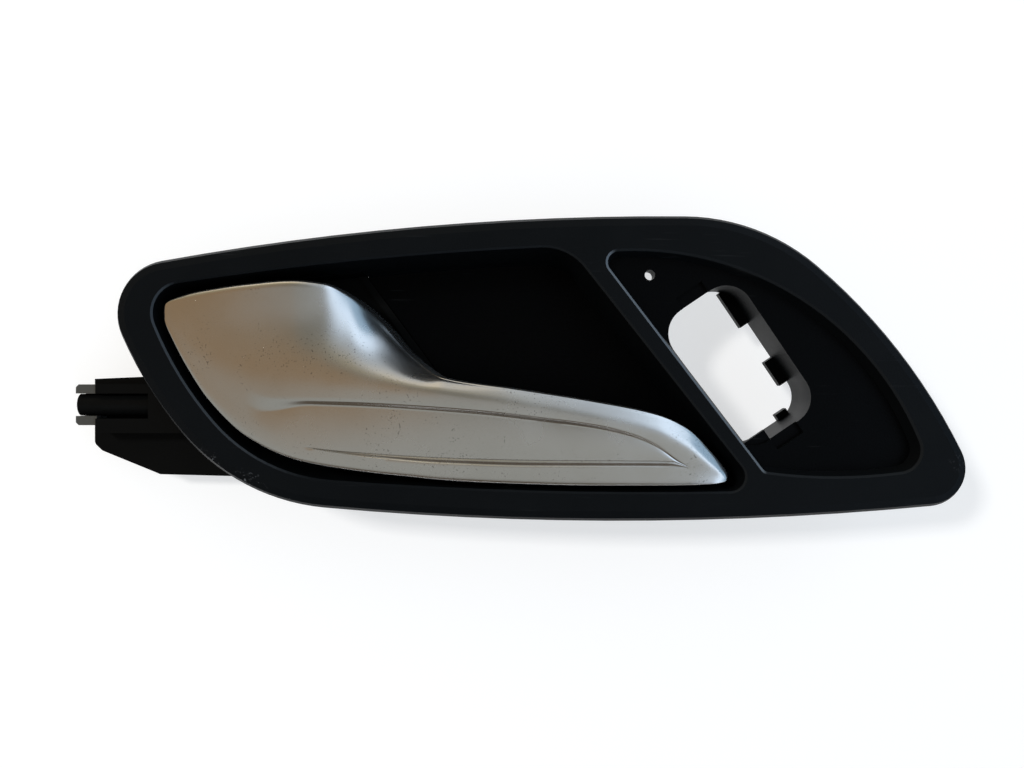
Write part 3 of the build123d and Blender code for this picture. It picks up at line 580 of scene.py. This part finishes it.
def noise(tree, vector, scale, detail=3.0, roughness=0.55):
    """Noise at a number of cells in a metre."""
    made = node(tree, "ShaderNodeTexNoise", {"Detail": detail, "Roughness": roughness})
    tree.links.new(vector, made.inputs["Vector"])
    if isinstance(scale, (int, float)):
        made.inputs["Scale"].default_value = scale
    else:
        tree.links.new(scale, made.inputs["Scale"])
    return made.outputs["Fac"]


def blend_colours(tree, share, first, second):
    """A mix of two colours, each a socket or a plain colour, by a mask."""
    made = node(tree, "ShaderNodeMix", data_type="RGBA")
    tree.links.new(share, made.inputs[0])
    for socket, value in ((made.inputs[6], first), (made.inputs[7], second)):
        if isinstance(value, tuple):
            socket.default_value = value
        else:
            tree.links.new(value, socket)
    return made.outputs[2]


def new_group(name, inputs, outputs):
    """A shader node group with named sockets. Returns the group, its inputs and its output node."""
    group = bpy.data.node_groups.new(name, "ShaderNodeTree")
    for label, kind, value in inputs:
        group.interface.new_socket(label, in_out="INPUT", socket_type=kind).default_value = value
    for label, kind in outputs:
        group.interface.new_socket(label, in_out="OUTPUT", socket_type=kind)
    return group, node(group, "NodeGroupInput").outputs, node(group, "NodeGroupOutput").inputs


def build_moulding_grain():
    """Fine grain and soft cloudiness of a moulded or coated surface."""
    group, given, out = new_group(
        "moulding_grain",
        (
            ("Colour", "NodeSocketColor", (0.5, 0.5, 0.5, 1.0)),
            ("Roughness", "NodeSocketFloat", 0.5),
            ("Grain", "NodeSocketFloat", 2500.0),
            ("Cloud", "NodeSocketFloat", 0.15),
        ),
        (("Colour", "NodeSocketColor"), ("Roughness", "NodeSocketFloat"), ("Height", "NodeSocketFloat")),
    )
    spot = node(group, "ShaderNodeTexCoord").outputs["Object"]
    fine = noise(group, spot, given["Grain"], 2.0, 0.6)
    cloud = math_node(group, "SUBTRACT", noise(group, spot, 45.0, 5.0), 0.5)
    shade = math_node(group, "MULTIPLY_ADD", cloud, given["Cloud"])
    shade.node.inputs[2].default_value = 1.0
    tint = node(group, "ShaderNodeVectorMath", operation="SCALE")
    group.links.new(given["Colour"], tint.inputs[0])
    group.links.new(shade, tint.inputs["Scale"])
    group.links.new(tint.outputs[0], out["Colour"])
    worn = math_node(group, "MULTIPLY", cloud, 0.25)
    group.links.new(math_node(group, "ADD", given["Roughness"], worn, True), out["Roughness"])
    group.links.new(fine, out["Height"])
    return group


def build_hand_marks():
    """Fine scratches and small dark specks from use."""
    group, given, out = new_group(
        "hand_marks",
        (
            ("Scratches", "NodeSocketFloat", 0.5),
            ("Specks", "NodeSocketFloat", 0.5),
            ("Grain", "NodeSocketFloat", 2000.0),
        ),
        (("Scratch", "NodeSocketFloat"), ("Speck", "NodeSocketFloat")),
    )
    spot = node(group, "ShaderNodeTexCoord").outputs["Object"]
    stretch = {"Rotation": (0.0, 0.35, 0.0), "Scale": (50.0, 300.0, 2200.0)}
    turned = node(group, "ShaderNodeMapping", stretch)
    group.links.new(spot, turned.inputs["Vector"])
    lines = ramp(group, noise(group, turned.outputs[0], 1.0, 2.0), 0.66, 0.74)
    patch = ramp(group, noise(group, spot, 60.0, 2.0), 0.5, 0.62)
    scratch = math_node(group, "MULTIPLY", math_node(group, "MULTIPLY", lines, patch), given["Scratches"])
    group.links.new(scratch, out["Scratch"])
    dots = ramp(group, noise(group, spot, given["Grain"], 0.0), 0.72, 0.78)
    cluster = ramp(group, noise(group, spot, 75.0, 2.0), 0.48, 0.64, 0.15, 1.0)
    speck = math_node(group, "MULTIPLY", math_node(group, "MULTIPLY", dots, cluster), given["Specks"])
    group.links.new(speck, out["Speck"])
    return group


def build_settled_dust():
    """Dust on surfaces that look towards the front, where the handle lies on its back."""
    group, given, out = new_group(
        "settled_dust", (("Amount", "NodeSocketFloat", 0.1),), (("Mask", "NodeSocketFloat"),)
    )
    spot = node(group, "ShaderNodeTexCoord").outputs["Object"]
    way = node(group, "ShaderNodeVectorMath", {1: TO_FRONT}, operation="DOT_PRODUCT")
    group.links.new(node(group, "ShaderNodeNewGeometry").outputs["Normal"], way.inputs[0])
    facing = ramp(group, way.outputs["Value"], 0.1, 0.9)
    film = ramp(group, noise(group, spot, 70.0, 6.0, 0.7), 0.42, 0.75)
    flecks = ramp(group, noise(group, spot, 1500.0, 1.0), 0.70, 0.76)
    both = math_node(group, "ADD", math_node(group, "MULTIPLY", film, 0.35), flecks)
    mask = math_node(group, "MULTIPLY", math_node(group, "MULTIPLY", both, facing), given["Amount"], True)
    group.links.new(mask, out["Mask"])
    return group


def build_local_scuff():
    """Small chips round one spot."""
    group, given, out = new_group(
        "local_scuff",
        (
            ("Centre", "NodeSocketVector", (0.0, 0.0, 0.0)),
            ("Reach", "NodeSocketFloat", 0.015),
            ("Amount", "NodeSocketFloat", 0.5),
        ),
        (("Mask", "NodeSocketFloat"),),
    )
    spot = node(group, "ShaderNodeTexCoord").outputs["Object"]
    away = node(group, "ShaderNodeVectorMath", operation="DISTANCE")
    group.links.new(spot, away.inputs[0])
    group.links.new(given["Centre"], away.inputs[1])
    far = math_node(group, "DIVIDE", away.outputs["Value"], given["Reach"])
    near = math_node(group, "SUBTRACT", 1.0, far, True)
    chips = ramp(group, noise(group, spot, 1300.0, 3.0, 0.6), 0.58, 0.66)
    mask = math_node(group, "MULTIPLY", math_node(group, "MULTIPLY", chips, near), given["Amount"], True)
    group.links.new(mask, out["Mask"])
    return group


def build_painted_floor_shade():
    """Painted shade: a mask of the floors of the cup and pocket, which look to the front from behind the
    rim.
    """
    group, given, out = new_group(
        "painted_floor_shade",
        (("Rim", "NodeSocketFloat", -0.037), ("Deep", "NodeSocketFloat", -0.0345)),
        (("Mask", "NodeSocketFloat"),),
    )
    place = node(group, "ShaderNodeSeparateXYZ")
    group.links.new(node(group, "ShaderNodeTexCoord").outputs["Object"], place.inputs[0])
    way = node(group, "ShaderNodeSeparateXYZ")
    group.links.new(node(group, "ShaderNodeNewGeometry").outputs["Normal"], way.inputs[0])
    sunk = node(group, "ShaderNodeMapRange", interpolation_type="LINEAR")
    group.links.new(place.outputs["Y"], sunk.inputs["Value"])
    group.links.new(given["Rim"], sunk.inputs["From Min"])
    group.links.new(given["Deep"], sunk.inputs["From Max"])
    facing = ramp(group, way.outputs["Y"], -0.2, -0.7)
    group.links.new(math_node(group, "MULTIPLY", sunk.outputs["Result"], facing, True), out["Mask"])
    return group


def build_smooth_rear():
    """The smooth rear side of a moulding, and a fainter sheen on its front."""
    group, given, out = new_group(
        "smooth_rear",
        (("Rear", "NodeSocketFloat", 0.3), ("Front", "NodeSocketFloat", 0.1)),
        (("Mask", "NodeSocketFloat"),),
    )
    way = node(group, "ShaderNodeSeparateXYZ")
    group.links.new(node(group, "ShaderNodeNewGeometry").outputs["Normal"], way.inputs[0])
    rear = math_node(group, "MULTIPLY", ramp(group, way.outputs["Y"], 0.02, 0.3), given["Rear"])
    front = math_node(group, "MULTIPLY", ramp(group, way.outputs["Y"], -0.4, -0.8), given["Front"])
    group.links.new(math_node(group, "ADD", rear, front, True), out["Mask"])
    return group


def build_edge_highlight():
    """Painted highlight along the small bevels at the front, strongest where they look right."""
    group, given, out = new_group(
        "edge_highlight",
        (("Front", "NodeSocketFloat", -0.0375), ("Amount", "NodeSocketFloat", 0.5)),
        (("Mask", "NodeSocketFloat"),),
    )
    place = node(group, "ShaderNodeSeparateXYZ")
    group.links.new(node(group, "ShaderNodeTexCoord").outputs["Object"], place.inputs[0])
    way = node(group, "ShaderNodeSeparateXYZ")
    group.links.new(node(group, "ShaderNodeNewGeometry").outputs["True Normal"], way.inputs[0])
    steep = math_node(group, "ABSOLUTE", math_node(group, "ADD", way.outputs["Y"], 0.72), 0.0)
    bevel = ramp(group, steep, 0.08, 0.14, 1.0, 0.0)
    ahead = math_node(group, "LESS_THAN", place.outputs["Y"], given["Front"])
    turned = ramp(group, way.outputs["X"], 0.1, 0.5, 0.06, 1.0)
    beside = ramp(group, place.outputs["X"], -0.06, 0.02, 0.3, 1.0)
    line = math_node(group, "MULTIPLY", bevel, ahead)
    strength = math_node(group, "MULTIPLY", turned, beside)
    mask = math_node(group, "MULTIPLY", line, strength)
    group.links.new(math_node(group, "MULTIPLY", mask, given["Amount"], True), out["Mask"])
    return group


GROUPS = {}


def shared(name):
    """The shared effect of that name, built when it is first asked for."""
    makers = {
        "moulding_grain": build_moulding_grain,
        "hand_marks": build_hand_marks,
        "settled_dust": build_settled_dust,
        "local_scuff": build_local_scuff,
        "painted_floor_shade": build_painted_floor_shade,
        "smooth_rear": build_smooth_rear,
        "edge_highlight": build_edge_highlight,
    }
    if name not in GROUPS:
        GROUPS[name] = makers[name]()
    return GROUPS[name]


def effect(tree, name, **values):
    """A shared effect placed in a material with its own values."""
    made = node(tree, "ShaderNodeGroup", node_tree=shared(name))
    for label, value in values.items():
        made.inputs[label].default_value = value
    return made.outputs


def opaque(colour):
    """A colour with full alpha."""
    return (*colour, 1.0)


Finish = namedtuple("Finish", "material tree shader surface bump")


def finish(name, colour, roughness, grain, relief, cloud, **shader_values):
    """A material with grain: its cells in a metre, its relief in metres, and how cloudy the colour is."""
    material = bpy.data.materials.new(name)
    material.use_nodes = True
    material.diffuse_color = opaque(colour)
    tree = material.node_tree
    shader = tree.nodes["Principled BSDF"]
    for label, value in shader_values.items():
        shader.inputs[label.replace("_", " ")].default_value = value
    surface = effect(
        tree, "moulding_grain", Colour=opaque(colour), Roughness=roughness, Grain=grain, Cloud=cloud
    )
    tree.links.new(surface["Colour"], shader.inputs["Base Color"])
    tree.links.new(surface["Roughness"], shader.inputs["Roughness"])
    bump = node(tree, "ShaderNodeBump", {"Strength": 1.0, "Distance": relief})
    tree.links.new(surface["Height"], bump.inputs["Height"])
    tree.links.new(bump.outputs[0], shader.inputs["Normal"])
    return Finish(material, tree, shader, surface, bump)


def dusted(made, dust, amount):
    """Lays dust over a finish's colour. Returns the new colour."""
    mask = effect(made.tree, "settled_dust", Amount=amount)["Mask"]
    mixed = blend_colours(made.tree, mask, made.surface["Colour"], opaque(dust))
    made.tree.links.new(mixed, made.shader.inputs["Base Color"])
    return mixed


def hand_marked(made, scratch, speck, **values):
    """Lays scratches and small specks over a finish's colour."""
    marks = effect(made.tree, "hand_marks", **values)
    colour = blend_colours(made.tree, marks["Scratch"], made.surface["Colour"], opaque(scratch))
    colour = blend_colours(made.tree, marks["Speck"], colour, opaque(speck))
    made.tree.links.new(colour, made.shader.inputs["Base Color"])


def bezel_finish(colours):
    """Grained black plastic with a painted highlight along its bevels, painted shade on the floors of the
    cup and pocket, a little dust and small chips on its outer edge.
    """
    made = finish(
        "bezel_plastic",
        colours.bezel,
        roughness=0.45,
        grain=2600.0,
        relief=0.00003,
        cloud=0.3,
        Specular_IOR_Level=0.05,
        Coat_Roughness=0.35,
    )
    tree = made.tree
    colour = dusted(made, colours.dust, 0.008)
    # Painted shade laid on the floors of the cup and pocket behind the rim.
    shade_on_floors = effect(tree, "painted_floor_shade", Rim=-(RIM_FACE - 1.0) * MM, Deep=-(RIM_FACE - 3.5) * MM)["Mask"]
    colour = blend_colours(tree, shade_on_floors, colour, opaque(colours.recess_shade))
    # Painted highlight along the front bevels, strongest on those that look right.
    edge = effect(tree, "edge_highlight", Front=-(RIM_FACE - 0.6) * MM, Amount=1.0)["Mask"]
    colour = blend_colours(tree, edge, colour, opaque(colours.edge))
    for centre, reach, amount in CHIPS:
        mask = effect(tree, "local_scuff", Centre=centre, Reach=reach, Amount=amount)["Mask"]
        colour = blend_colours(tree, mask, colour, opaque(colours.scuff))
    sheen = effect(tree, "smooth_rear", Rear=0.6, Front=0.0)["Mask"]
    tree.links.new(sheen, made.shader.inputs["Coat Weight"])
    marks = effect(tree, "hand_marks", Scratches=0.04, Specks=0.0, Grain=2000.0)
    colour = blend_colours(tree, marks["Scratch"], colour, opaque(colours.scuff))
    tree.links.new(colour, made.shader.inputs["Base Color"])
    return made.material


def base_finish(colours):
    """Plain charcoal moulding, a little dusty, smoother on its rear side."""
    made = finish(
        "base_plastic",
        colours.base,
        roughness=0.6,
        grain=1500.0,
        relief=0.00003,
        cloud=0.4,
        Specular_IOR_Level=0.0,
        Coat_Roughness=0.35,
    )
    dusted(made, colours.dust, 0.01)
    sheen = effect(made.tree, "smooth_rear", Rear=0.6, Front=0.1)["Mask"]
    made.tree.links.new(sheen, made.shader.inputs["Coat Weight"])
    return made.material


def retainer_finish(colours):
    """Grey moulding of the small retainer."""
    made = finish(
        "retainer_plastic", colours.retainer, roughness=0.45, grain=1500.0, relief=0.00002, cloud=0.3
    )
    dusted(made, colours.dust, 0.05)
    return made.material


def lever_finish(colours):
    """Satin silver coat with a fine grain, faint hairlines and clusters of small dark specks."""
    made = finish(
        "lever_silver",
        colours.lever,
        roughness=0.26,
        grain=3500.0,
        relief=0.000005,
        cloud=0.16,
        Metallic=0.98,
    )
    hand_marked(
        made,
        scratch=(0.72, 0.71, 0.69),
        speck=(0.10, 0.09, 0.08),
        Scratches=0.06,
        Specks=0.6,
        Grain=2300.0,
    )
    return made.material


def core_finish(colours):
    """Plain black moulding inside the lever."""
    made = finish(
        "core_plastic",
        colours.core,
        roughness=0.5,
        grain=1800.0,
        relief=0.00003,
        cloud=0.3,
        Specular_IOR_Level=0.4,
    )
    return made.material


def bush_finish(colours):
    """Natural acetal, waxy and slightly cloudy."""
    made = finish("bush_plastic", colours.bush, roughness=0.32, grain=900.0, relief=0.00001, cloud=0.12)
    return made.material


def steel_finish(name, colour, roughness, hairlines):
    """Drawn or plated steel with hairlines."""
    made = finish(name, colour, roughness, grain=4000.0, relief=0.000006, cloud=0.35, Metallic=1.0)
    hand_marked(
        made,
        scratch=(0.8, 0.8, 0.8),
        speck=(0.08, 0.07, 0.06),
        Scratches=hairlines,
        Specks=0.4,
        Grain=2600.0,
    )
    return made.material


def rubber_finish(colours):
    """Matte black rubber with a pale bloom."""
    made = finish("bumper_rubber", colours.rubber, roughness=0.75, grain=2200.0, relief=0.00004, cloud=0.3)
    dusted(made, colours.dust, 0.15)
    return made.material


def foam_finish(colours):
    """Open cell black foam, with painted shade in the hollows of its cells."""
    made = finish("foam", colours.foam, roughness=0.95, grain=1500.0, relief=0.0001, cloud=0.4)
    tree = made.tree
    spot = node(tree, "ShaderNodeTexCoord").outputs["Object"]
    cells = node(tree, "ShaderNodeTexVoronoi", {"Scale": 1300.0}, feature="F1")
    tree.links.new(spot, cells.inputs["Vector"])
    open_cell = ramp(tree, cells.outputs["Distance"], 0.25, 0.55)
    tree.links.new(open_cell, made.bump.inputs["Height"])
    # Painted shade: the hollows of the cells get a darker colour.
    shade = blend_colours(tree, open_cell, (0.003, 0.003, 0.003, 1.0), made.surface["Colour"])
    tree.links.new(shade, made.shader.inputs["Base Color"])
    return made.material


def dress(name, material):
    """Gives a CAD node its material."""
    thing = NODES[name]
    thing.data.materials.clear()
    thing.data.materials.append(material)
    return thing


# Operators


class DressBezel(bpy.types.Operator):
    """Finishes the bezel in grained black plastic."""

    bl_idname = "door_handle.bezel"
    bl_label = "Bezel"

    def execute(self, context):
        dress("bezel", bezel_finish(context.scene.door_handle_colours))
        return {"FINISHED"}


class DressHingeBase(bpy.types.Operator):
    """Finishes the hinge base with its cable bracket, adds its thin lip, and finishes the retainer."""

    bl_idname = "door_handle.hinge_base"
    bl_label = "Hinge base and cable retainer"

    def execute(self, context):
        colours = context.scene.door_handle_colours
        plastic = base_finish(colours)
        dress("hinge_base", plastic)
        mesh = base_lip_mesh()
        x, y = [(a + b) / 2.0 for a, b in zip(*LIP_ENDS)]
        turn_outwards(mesh, Vector((x, -LIP_FACES[1], y)) * MM, TO_FRONT)
        mesh.materials.append(plastic)
        lip = put_in_scene("base_lip", mesh)
        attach(lip, "housing")
        dress("cable_retainer", retainer_finish(colours))
        return {"FINISHED"}


class BuildLeverFace(bpy.types.Operator):
    """Builds the sculpted silver skin of the lever."""

    bl_idname = "door_handle.lever_face"
    bl_label = "Lever face"

    def execute(self, context):
        sizes = context.scene.door_handle_sizes
        mesh, xs, rows = lever_face_mesh(sizes)
        turn_outwards(mesh, Vector((0.0, -RIM_FACE * MM, 0.0)), TO_FRONT)
        smooth_with_edges(mesh, LEVER_SHARP)
        lever = put_in_scene("lever_face", mesh)
        mesh.materials.append(lever_finish(context.scene.door_handle_colours))
        wall = lever.vertex_groups.new(name="wall")
        for i, x in enumerate(xs):
            share = min(1.0, END_WALL + min(x - xs[0], xs[-1] - x) / END_TAPER)
            wall.add(list(range(i * rows, (i + 1) * rows)), share, "REPLACE")
        shell = lever.modifiers.new("wall", "SOLIDIFY")
        shell.thickness = sizes.lever_wall
        shell.offset = -1.0
        shell.vertex_group = "wall"
        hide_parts("lever_skin")
        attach(lever, "lever")
        return {"FINISHED"}


class DressLeverCore(bpy.types.Operator):
    """Finishes the plate inside the lever and its hinge bushes."""

    bl_idname = "door_handle.lever_core"
    bl_label = "Lever core and bushes"

    def execute(self, context):
        colours = context.scene.door_handle_colours
        dress("lever_core", core_finish(colours))
        bush = bush_finish(colours)
        for name in ("upper_bush", "lower_bush"):
            dress(name, bush)
        return {"FINISHED"}


class DressMetals(bpy.types.Operator):
    """Finishes the pivot pin and the screws."""

    bl_idname = "door_handle.metals"
    bl_label = "Pin and screws"

    def execute(self, context):
        colours = context.scene.door_handle_colours
        dress("pivot_pin", steel_finish("pin_steel", colours.steel, roughness=0.25, hairlines=0.5))
        zinc = steel_finish("screw_steel", colours.zinc, roughness=0.35, hairlines=0.3)
        for name in ("base_screws", "core_screws"):
            dress(name, zinc)
        return {"FINISHED"}


class BuildReturnSpring(bpy.types.Operator):
    """Winds the return spring, and finishes the clips in the same steel."""

    bl_idname = "door_handle.return_spring"
    bl_label = "Return spring and clips"

    def execute(self, context):
        colours = context.scene.door_handle_colours
        steel = steel_finish("spring_steel", colours.spring, roughness=0.38, hairlines=0.4)
        for name in ("return_spring", "pin_clip", "trim_clips"):
            dress(name, steel)
        wire = context.scene.door_handle_sizes.spring_wire
        line = spring_line(wire)
        mesh = round_wire_mesh("round_wire_spring", line, wire)
        turn_outwards(mesh, line[-1], Vector((1.0, 0.0, 0.0)))
        smooth_with_edges(mesh, WIRE_SHARP)
        mesh.materials.append(steel)
        spring = put_in_scene("round_wire_spring", mesh)
        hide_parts("return_spring")
        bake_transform(spring)
        return {"FINISHED"}


class DressSoftPads(bpy.types.Operator):
    """Finishes the rubber bumpers and the foam pad."""

    bl_idname = "door_handle.soft_pads"
    bl_label = "Bumpers and foam pad"

    def execute(self, context):
        colours = context.scene.door_handle_colours
        rubber = rubber_finish(colours)
        for name in ("rest_bumper", "travel_bumper"):
            dress(name, rubber)
        dress("foam_pad", foam_finish(colours))
        return {"FINISHED"}


# The backdrop's half side and place behind the handle in metres, and how strongly it glows to the camera.
SHEET_HALF = 1.8
SHEET_DEPTH = 0.0004
SHEET_GLOW = 0.575
WHITE = (1.0, 1.0, 1.0, 1.0)
# The lights: the spot that they look at, their places and sides in metres, the key light's colour, and
# the rear light's power in watts.
LIGHT_AIM = (0.0, -0.02, 0.012)
KEY_SPOT = (-0.60, -1.20, 0.34)
KEY_SIZE = 0.16
KEY_COLOUR = (1.0, 0.98, 0.95)
REAR_SPOT = (-0.6, 1.0, 0.8)
REAR_SIZE = 0.9
REAR_POWER = 12.0
# The camera's height in metres, the width of its sensor in mm, and where it begins to see in metres.
CAMERA_HEIGHT = 0.0127
SENSOR_WIDTH = 36.0
NEAR_LIMIT = 0.01


def backdrop_finish(colour):
    """A pale surface that is seen from its front only, and keeps the handle's shadow."""
    material = bpy.data.materials.new("pale_backdrop")
    material.use_nodes = True
    tree = material.node_tree
    tree.nodes.clear()
    out = node(tree, "ShaderNodeOutputMaterial")
    paper = node(tree, "ShaderNodeBsdfDiffuse", {"Color": opaque(colour)})
    glow = node(tree, "ShaderNodeEmission", {"Color": WHITE, "Strength": SHEET_GLOW})
    clear = node(tree, "ShaderNodeBsdfTransparent")
    rays = node(tree, "ShaderNodeLightPath").outputs
    seen = math_node(tree, "ADD", rays["Is Camera Ray"], rays["Is Glossy Ray"], True)
    seen = math_node(tree, "ADD", seen, rays["Is Transmission Ray"], True)
    lit = node(tree, "ShaderNodeAddShader")
    tree.links.new(paper.outputs[0], lit.inputs[0])
    tree.links.new(glow.outputs[0], lit.inputs[1])
    front = node(tree, "ShaderNodeMixShader")
    tree.links.new(seen, front.inputs[0])
    tree.links.new(paper.outputs[0], front.inputs[1])
    tree.links.new(lit.outputs[0], front.inputs[2])
    behind = node(tree, "ShaderNodeNewGeometry").outputs["Backfacing"]
    gone = math_node(tree, "MAXIMUM", behind, rays["Is Shadow Ray"])
    one_sided = node(tree, "ShaderNodeMixShader")
    tree.links.new(gone, one_sided.inputs[0])
    tree.links.new(front.outputs[0], one_sided.inputs[1])
    tree.links.new(clear.outputs[0], one_sided.inputs[2])
    tree.links.new(one_sided.outputs[0], out.inputs[0])
    return material


# The room's light: its colour in front, then layers, each over the last, with a direction, where along it
# the layer begins and is full, and its colour.
ROOM_FRONT = (0.37, 0.37, 0.35)
LEFT = (-1.0, 0.0, 0.0)
RIGHT = (1.0, 0.0, 0.0)
UP = (0.0, 0.0, 1.0)
DOWN = (0.0, 0.0, -1.0)
BEHIND = (0.0, 1.0, 0.0)
UP_RIGHT = (0.95, 0.0, 0.31)
BEHIND_ABOVE = (0.25, 0.75, 0.61)
ROOM_LAYERS = (
    (UP, 0.02, 0.22, (0.22, 0.21, 0.17)),
    (LEFT, 0.10, 0.27, (0.34, 0.225, 0.12)),
    (DOWN, 0.02, 0.16, (0.40, 0.405, 0.38)),
    (DOWN, 0.45, 0.80, (0.10, 0.075, 0.05)),
    (UP, 0.45, 0.72, (0.40, 0.34, 0.22)),
    (UP, 0.78, 0.95, (1.15, 0.98, 0.70)),
    (UP_RIGHT, 0.12, 0.48, (0.48, 0.54, 0.60)),
    (RIGHT, 0.28, 0.45, (1.28, 1.55, 1.90)),
    (RIGHT, 0.61, 0.70, (0.36, 0.56, 0.78)),
    (BEHIND, 0.15, 0.60, (0.55, 0.55, 0.55)),
    (BEHIND_ABOVE, 0.70, 0.95, (1.9, 1.9, 1.9)),
)


def room_light():
    """A soft room: grey in front, warm on the left, bright above, cool on the right, white when seen."""
    world = bpy.data.worlds.new("soft_room")
    world.use_nodes = True
    tree = world.node_tree
    tree.nodes.clear()
    out = node(tree, "ShaderNodeOutputWorld")
    way = node(tree, "ShaderNodeTexCoord").outputs["Generated"]
    colour = opaque(ROOM_FRONT)
    for axis, start, end, tone in ROOM_LAYERS:
        along = node(tree, "ShaderNodeVectorMath", {1: axis}, operation="DOT_PRODUCT")
        tree.links.new(way, along.inputs[0])
        share = ramp(tree, along.outputs["Value"], start, end)
        colour = blend_colours(tree, share, colour, opaque(tone))
    rays = node(tree, "ShaderNodeLightPath").outputs
    colour = blend_colours(tree, rays["Is Camera Ray"], colour, WHITE)
    glow = node(tree, "ShaderNodeBackground", {"Strength": 1.0})
    tree.links.new(colour, glow.inputs["Color"])
    tree.links.new(glow.outputs[0], out.inputs[0])
    return world


def soft_light(name, spot, aim, size, power, colour):
    """A square soft light that looks at a spot."""
    data = bpy.data.lights.new(name, "AREA")
    data.shape = "SQUARE"
    data.size = size
    data.energy = power
    data.color = colour
    lamp = put_in_scene(name, data)
    lamp.location = spot
    lamp.rotation_euler = (Vector(aim) - Vector(spot)).to_track_quat("-Z", "Y").to_euler()
    return lamp


def flat_sheet(name, half, depth):
    """An upright sheet behind the handle that looks towards the front."""
    mesh = bpy.data.meshes.new(name)
    corners = [(-half, depth, -half), (half, depth, -half), (half, depth, half), (-half, depth, half)]
    mesh.from_pydata(corners, [], [(0, 1, 2, 3)])
    return put_in_scene(name, mesh)


class BuildStage(bpy.types.Operator):
    """Sets the pale backdrop, the soft lights and the camera."""

    bl_idname = "door_handle.stage"
    bl_label = "Stage"

    def execute(self, context):
        scene = context.scene
        settings = scene.door_handle_stage
        backdrop = flat_sheet("backdrop", SHEET_HALF, SHEET_DEPTH)
        backdrop.data.materials.append(backdrop_finish(settings.backdrop))
        key = soft_light("key_light", KEY_SPOT, LIGHT_AIM, KEY_SIZE, settings.key_power, KEY_COLOUR)
        key.visible_glossy = False
        rear = soft_light("rear_light", REAR_SPOT, LIGHT_AIM, REAR_SIZE, REAR_POWER, WHITE[:3])
        scene.world = room_light()
        data = bpy.data.cameras.new("camera")
        data.lens = settings.lens
        data.sensor_width = SENSOR_WIDTH
        data.clip_start = NEAR_LIMIT
        camera = put_in_scene("camera", data)
        camera.location = (0.0, -settings.camera_distance, CAMERA_HEIGHT)
        camera.rotation_euler = (math.radians(90.0), 0.0, 0.0)
        scene.camera = camera
        scene.view_settings.view_transform = "Standard"
        return {"FINISHED"}


class DoorHandlePanel(bpy.types.Panel):
    """Lists the handle's pieces, sizes and colours."""

    bl_idname = "VIEW3D_PT_door_handle"
    bl_label = "Door handle"
    bl_space_type = "VIEW_3D"
    bl_region_type = "UI"
    bl_category = "Door handle"

    def draw(self, context):
        layout = self.layout
        for operator in PIECES:
            layout.operator(operator.bl_idname)
        for settings in (
            context.scene.door_handle_sizes,
            context.scene.door_handle_colours,
            context.scene.door_handle_stage,
        ):
            box = layout.box()
            for name in settings.__annotations__:
                box.prop(settings, name)


PIECES = (
    DressBezel,
    DressHingeBase,
    BuildLeverFace,
    DressLeverCore,
    DressMetals,
    BuildReturnSpring,
    DressSoftPads,
    BuildStage,
)
SETTINGS = (DoorHandleSizes, DoorHandleColours, DoorHandleStage)


def register():
    for kind in SETTINGS + PIECES + (DoorHandlePanel,):
        bpy.utils.register_class(kind)
    bpy.types.Scene.door_handle_sizes = PointerProperty(type=DoorHandleSizes)
    bpy.types.Scene.door_handle_colours = PointerProperty(type=DoorHandleColours)
    bpy.types.Scene.door_handle_stage = PointerProperty(type=DoorHandleStage)


def unregister():
    for name in ("door_handle_sizes", "door_handle_colours", "door_handle_stage"):
        delattr(bpy.types.Scene, name)
    for kind in reversed(SETTINGS + PIECES + (DoorHandlePanel,)):
        bpy.utils.unregister_class(kind)


def main():
    """Registers the add-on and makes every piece."""
    register()
    bpy.ops.door_handle.bezel()
    bpy.ops.door_handle.hinge_base()
    bpy.ops.door_handle.lever_face()
    bpy.ops.door_handle.lever_core()
    bpy.ops.door_handle.metals()
    bpy.ops.door_handle.return_spring()
    bpy.ops.door_handle.soft_pads()
    bpy.ops.door_handle.stage()


if __name__ == "__main__":
    main()
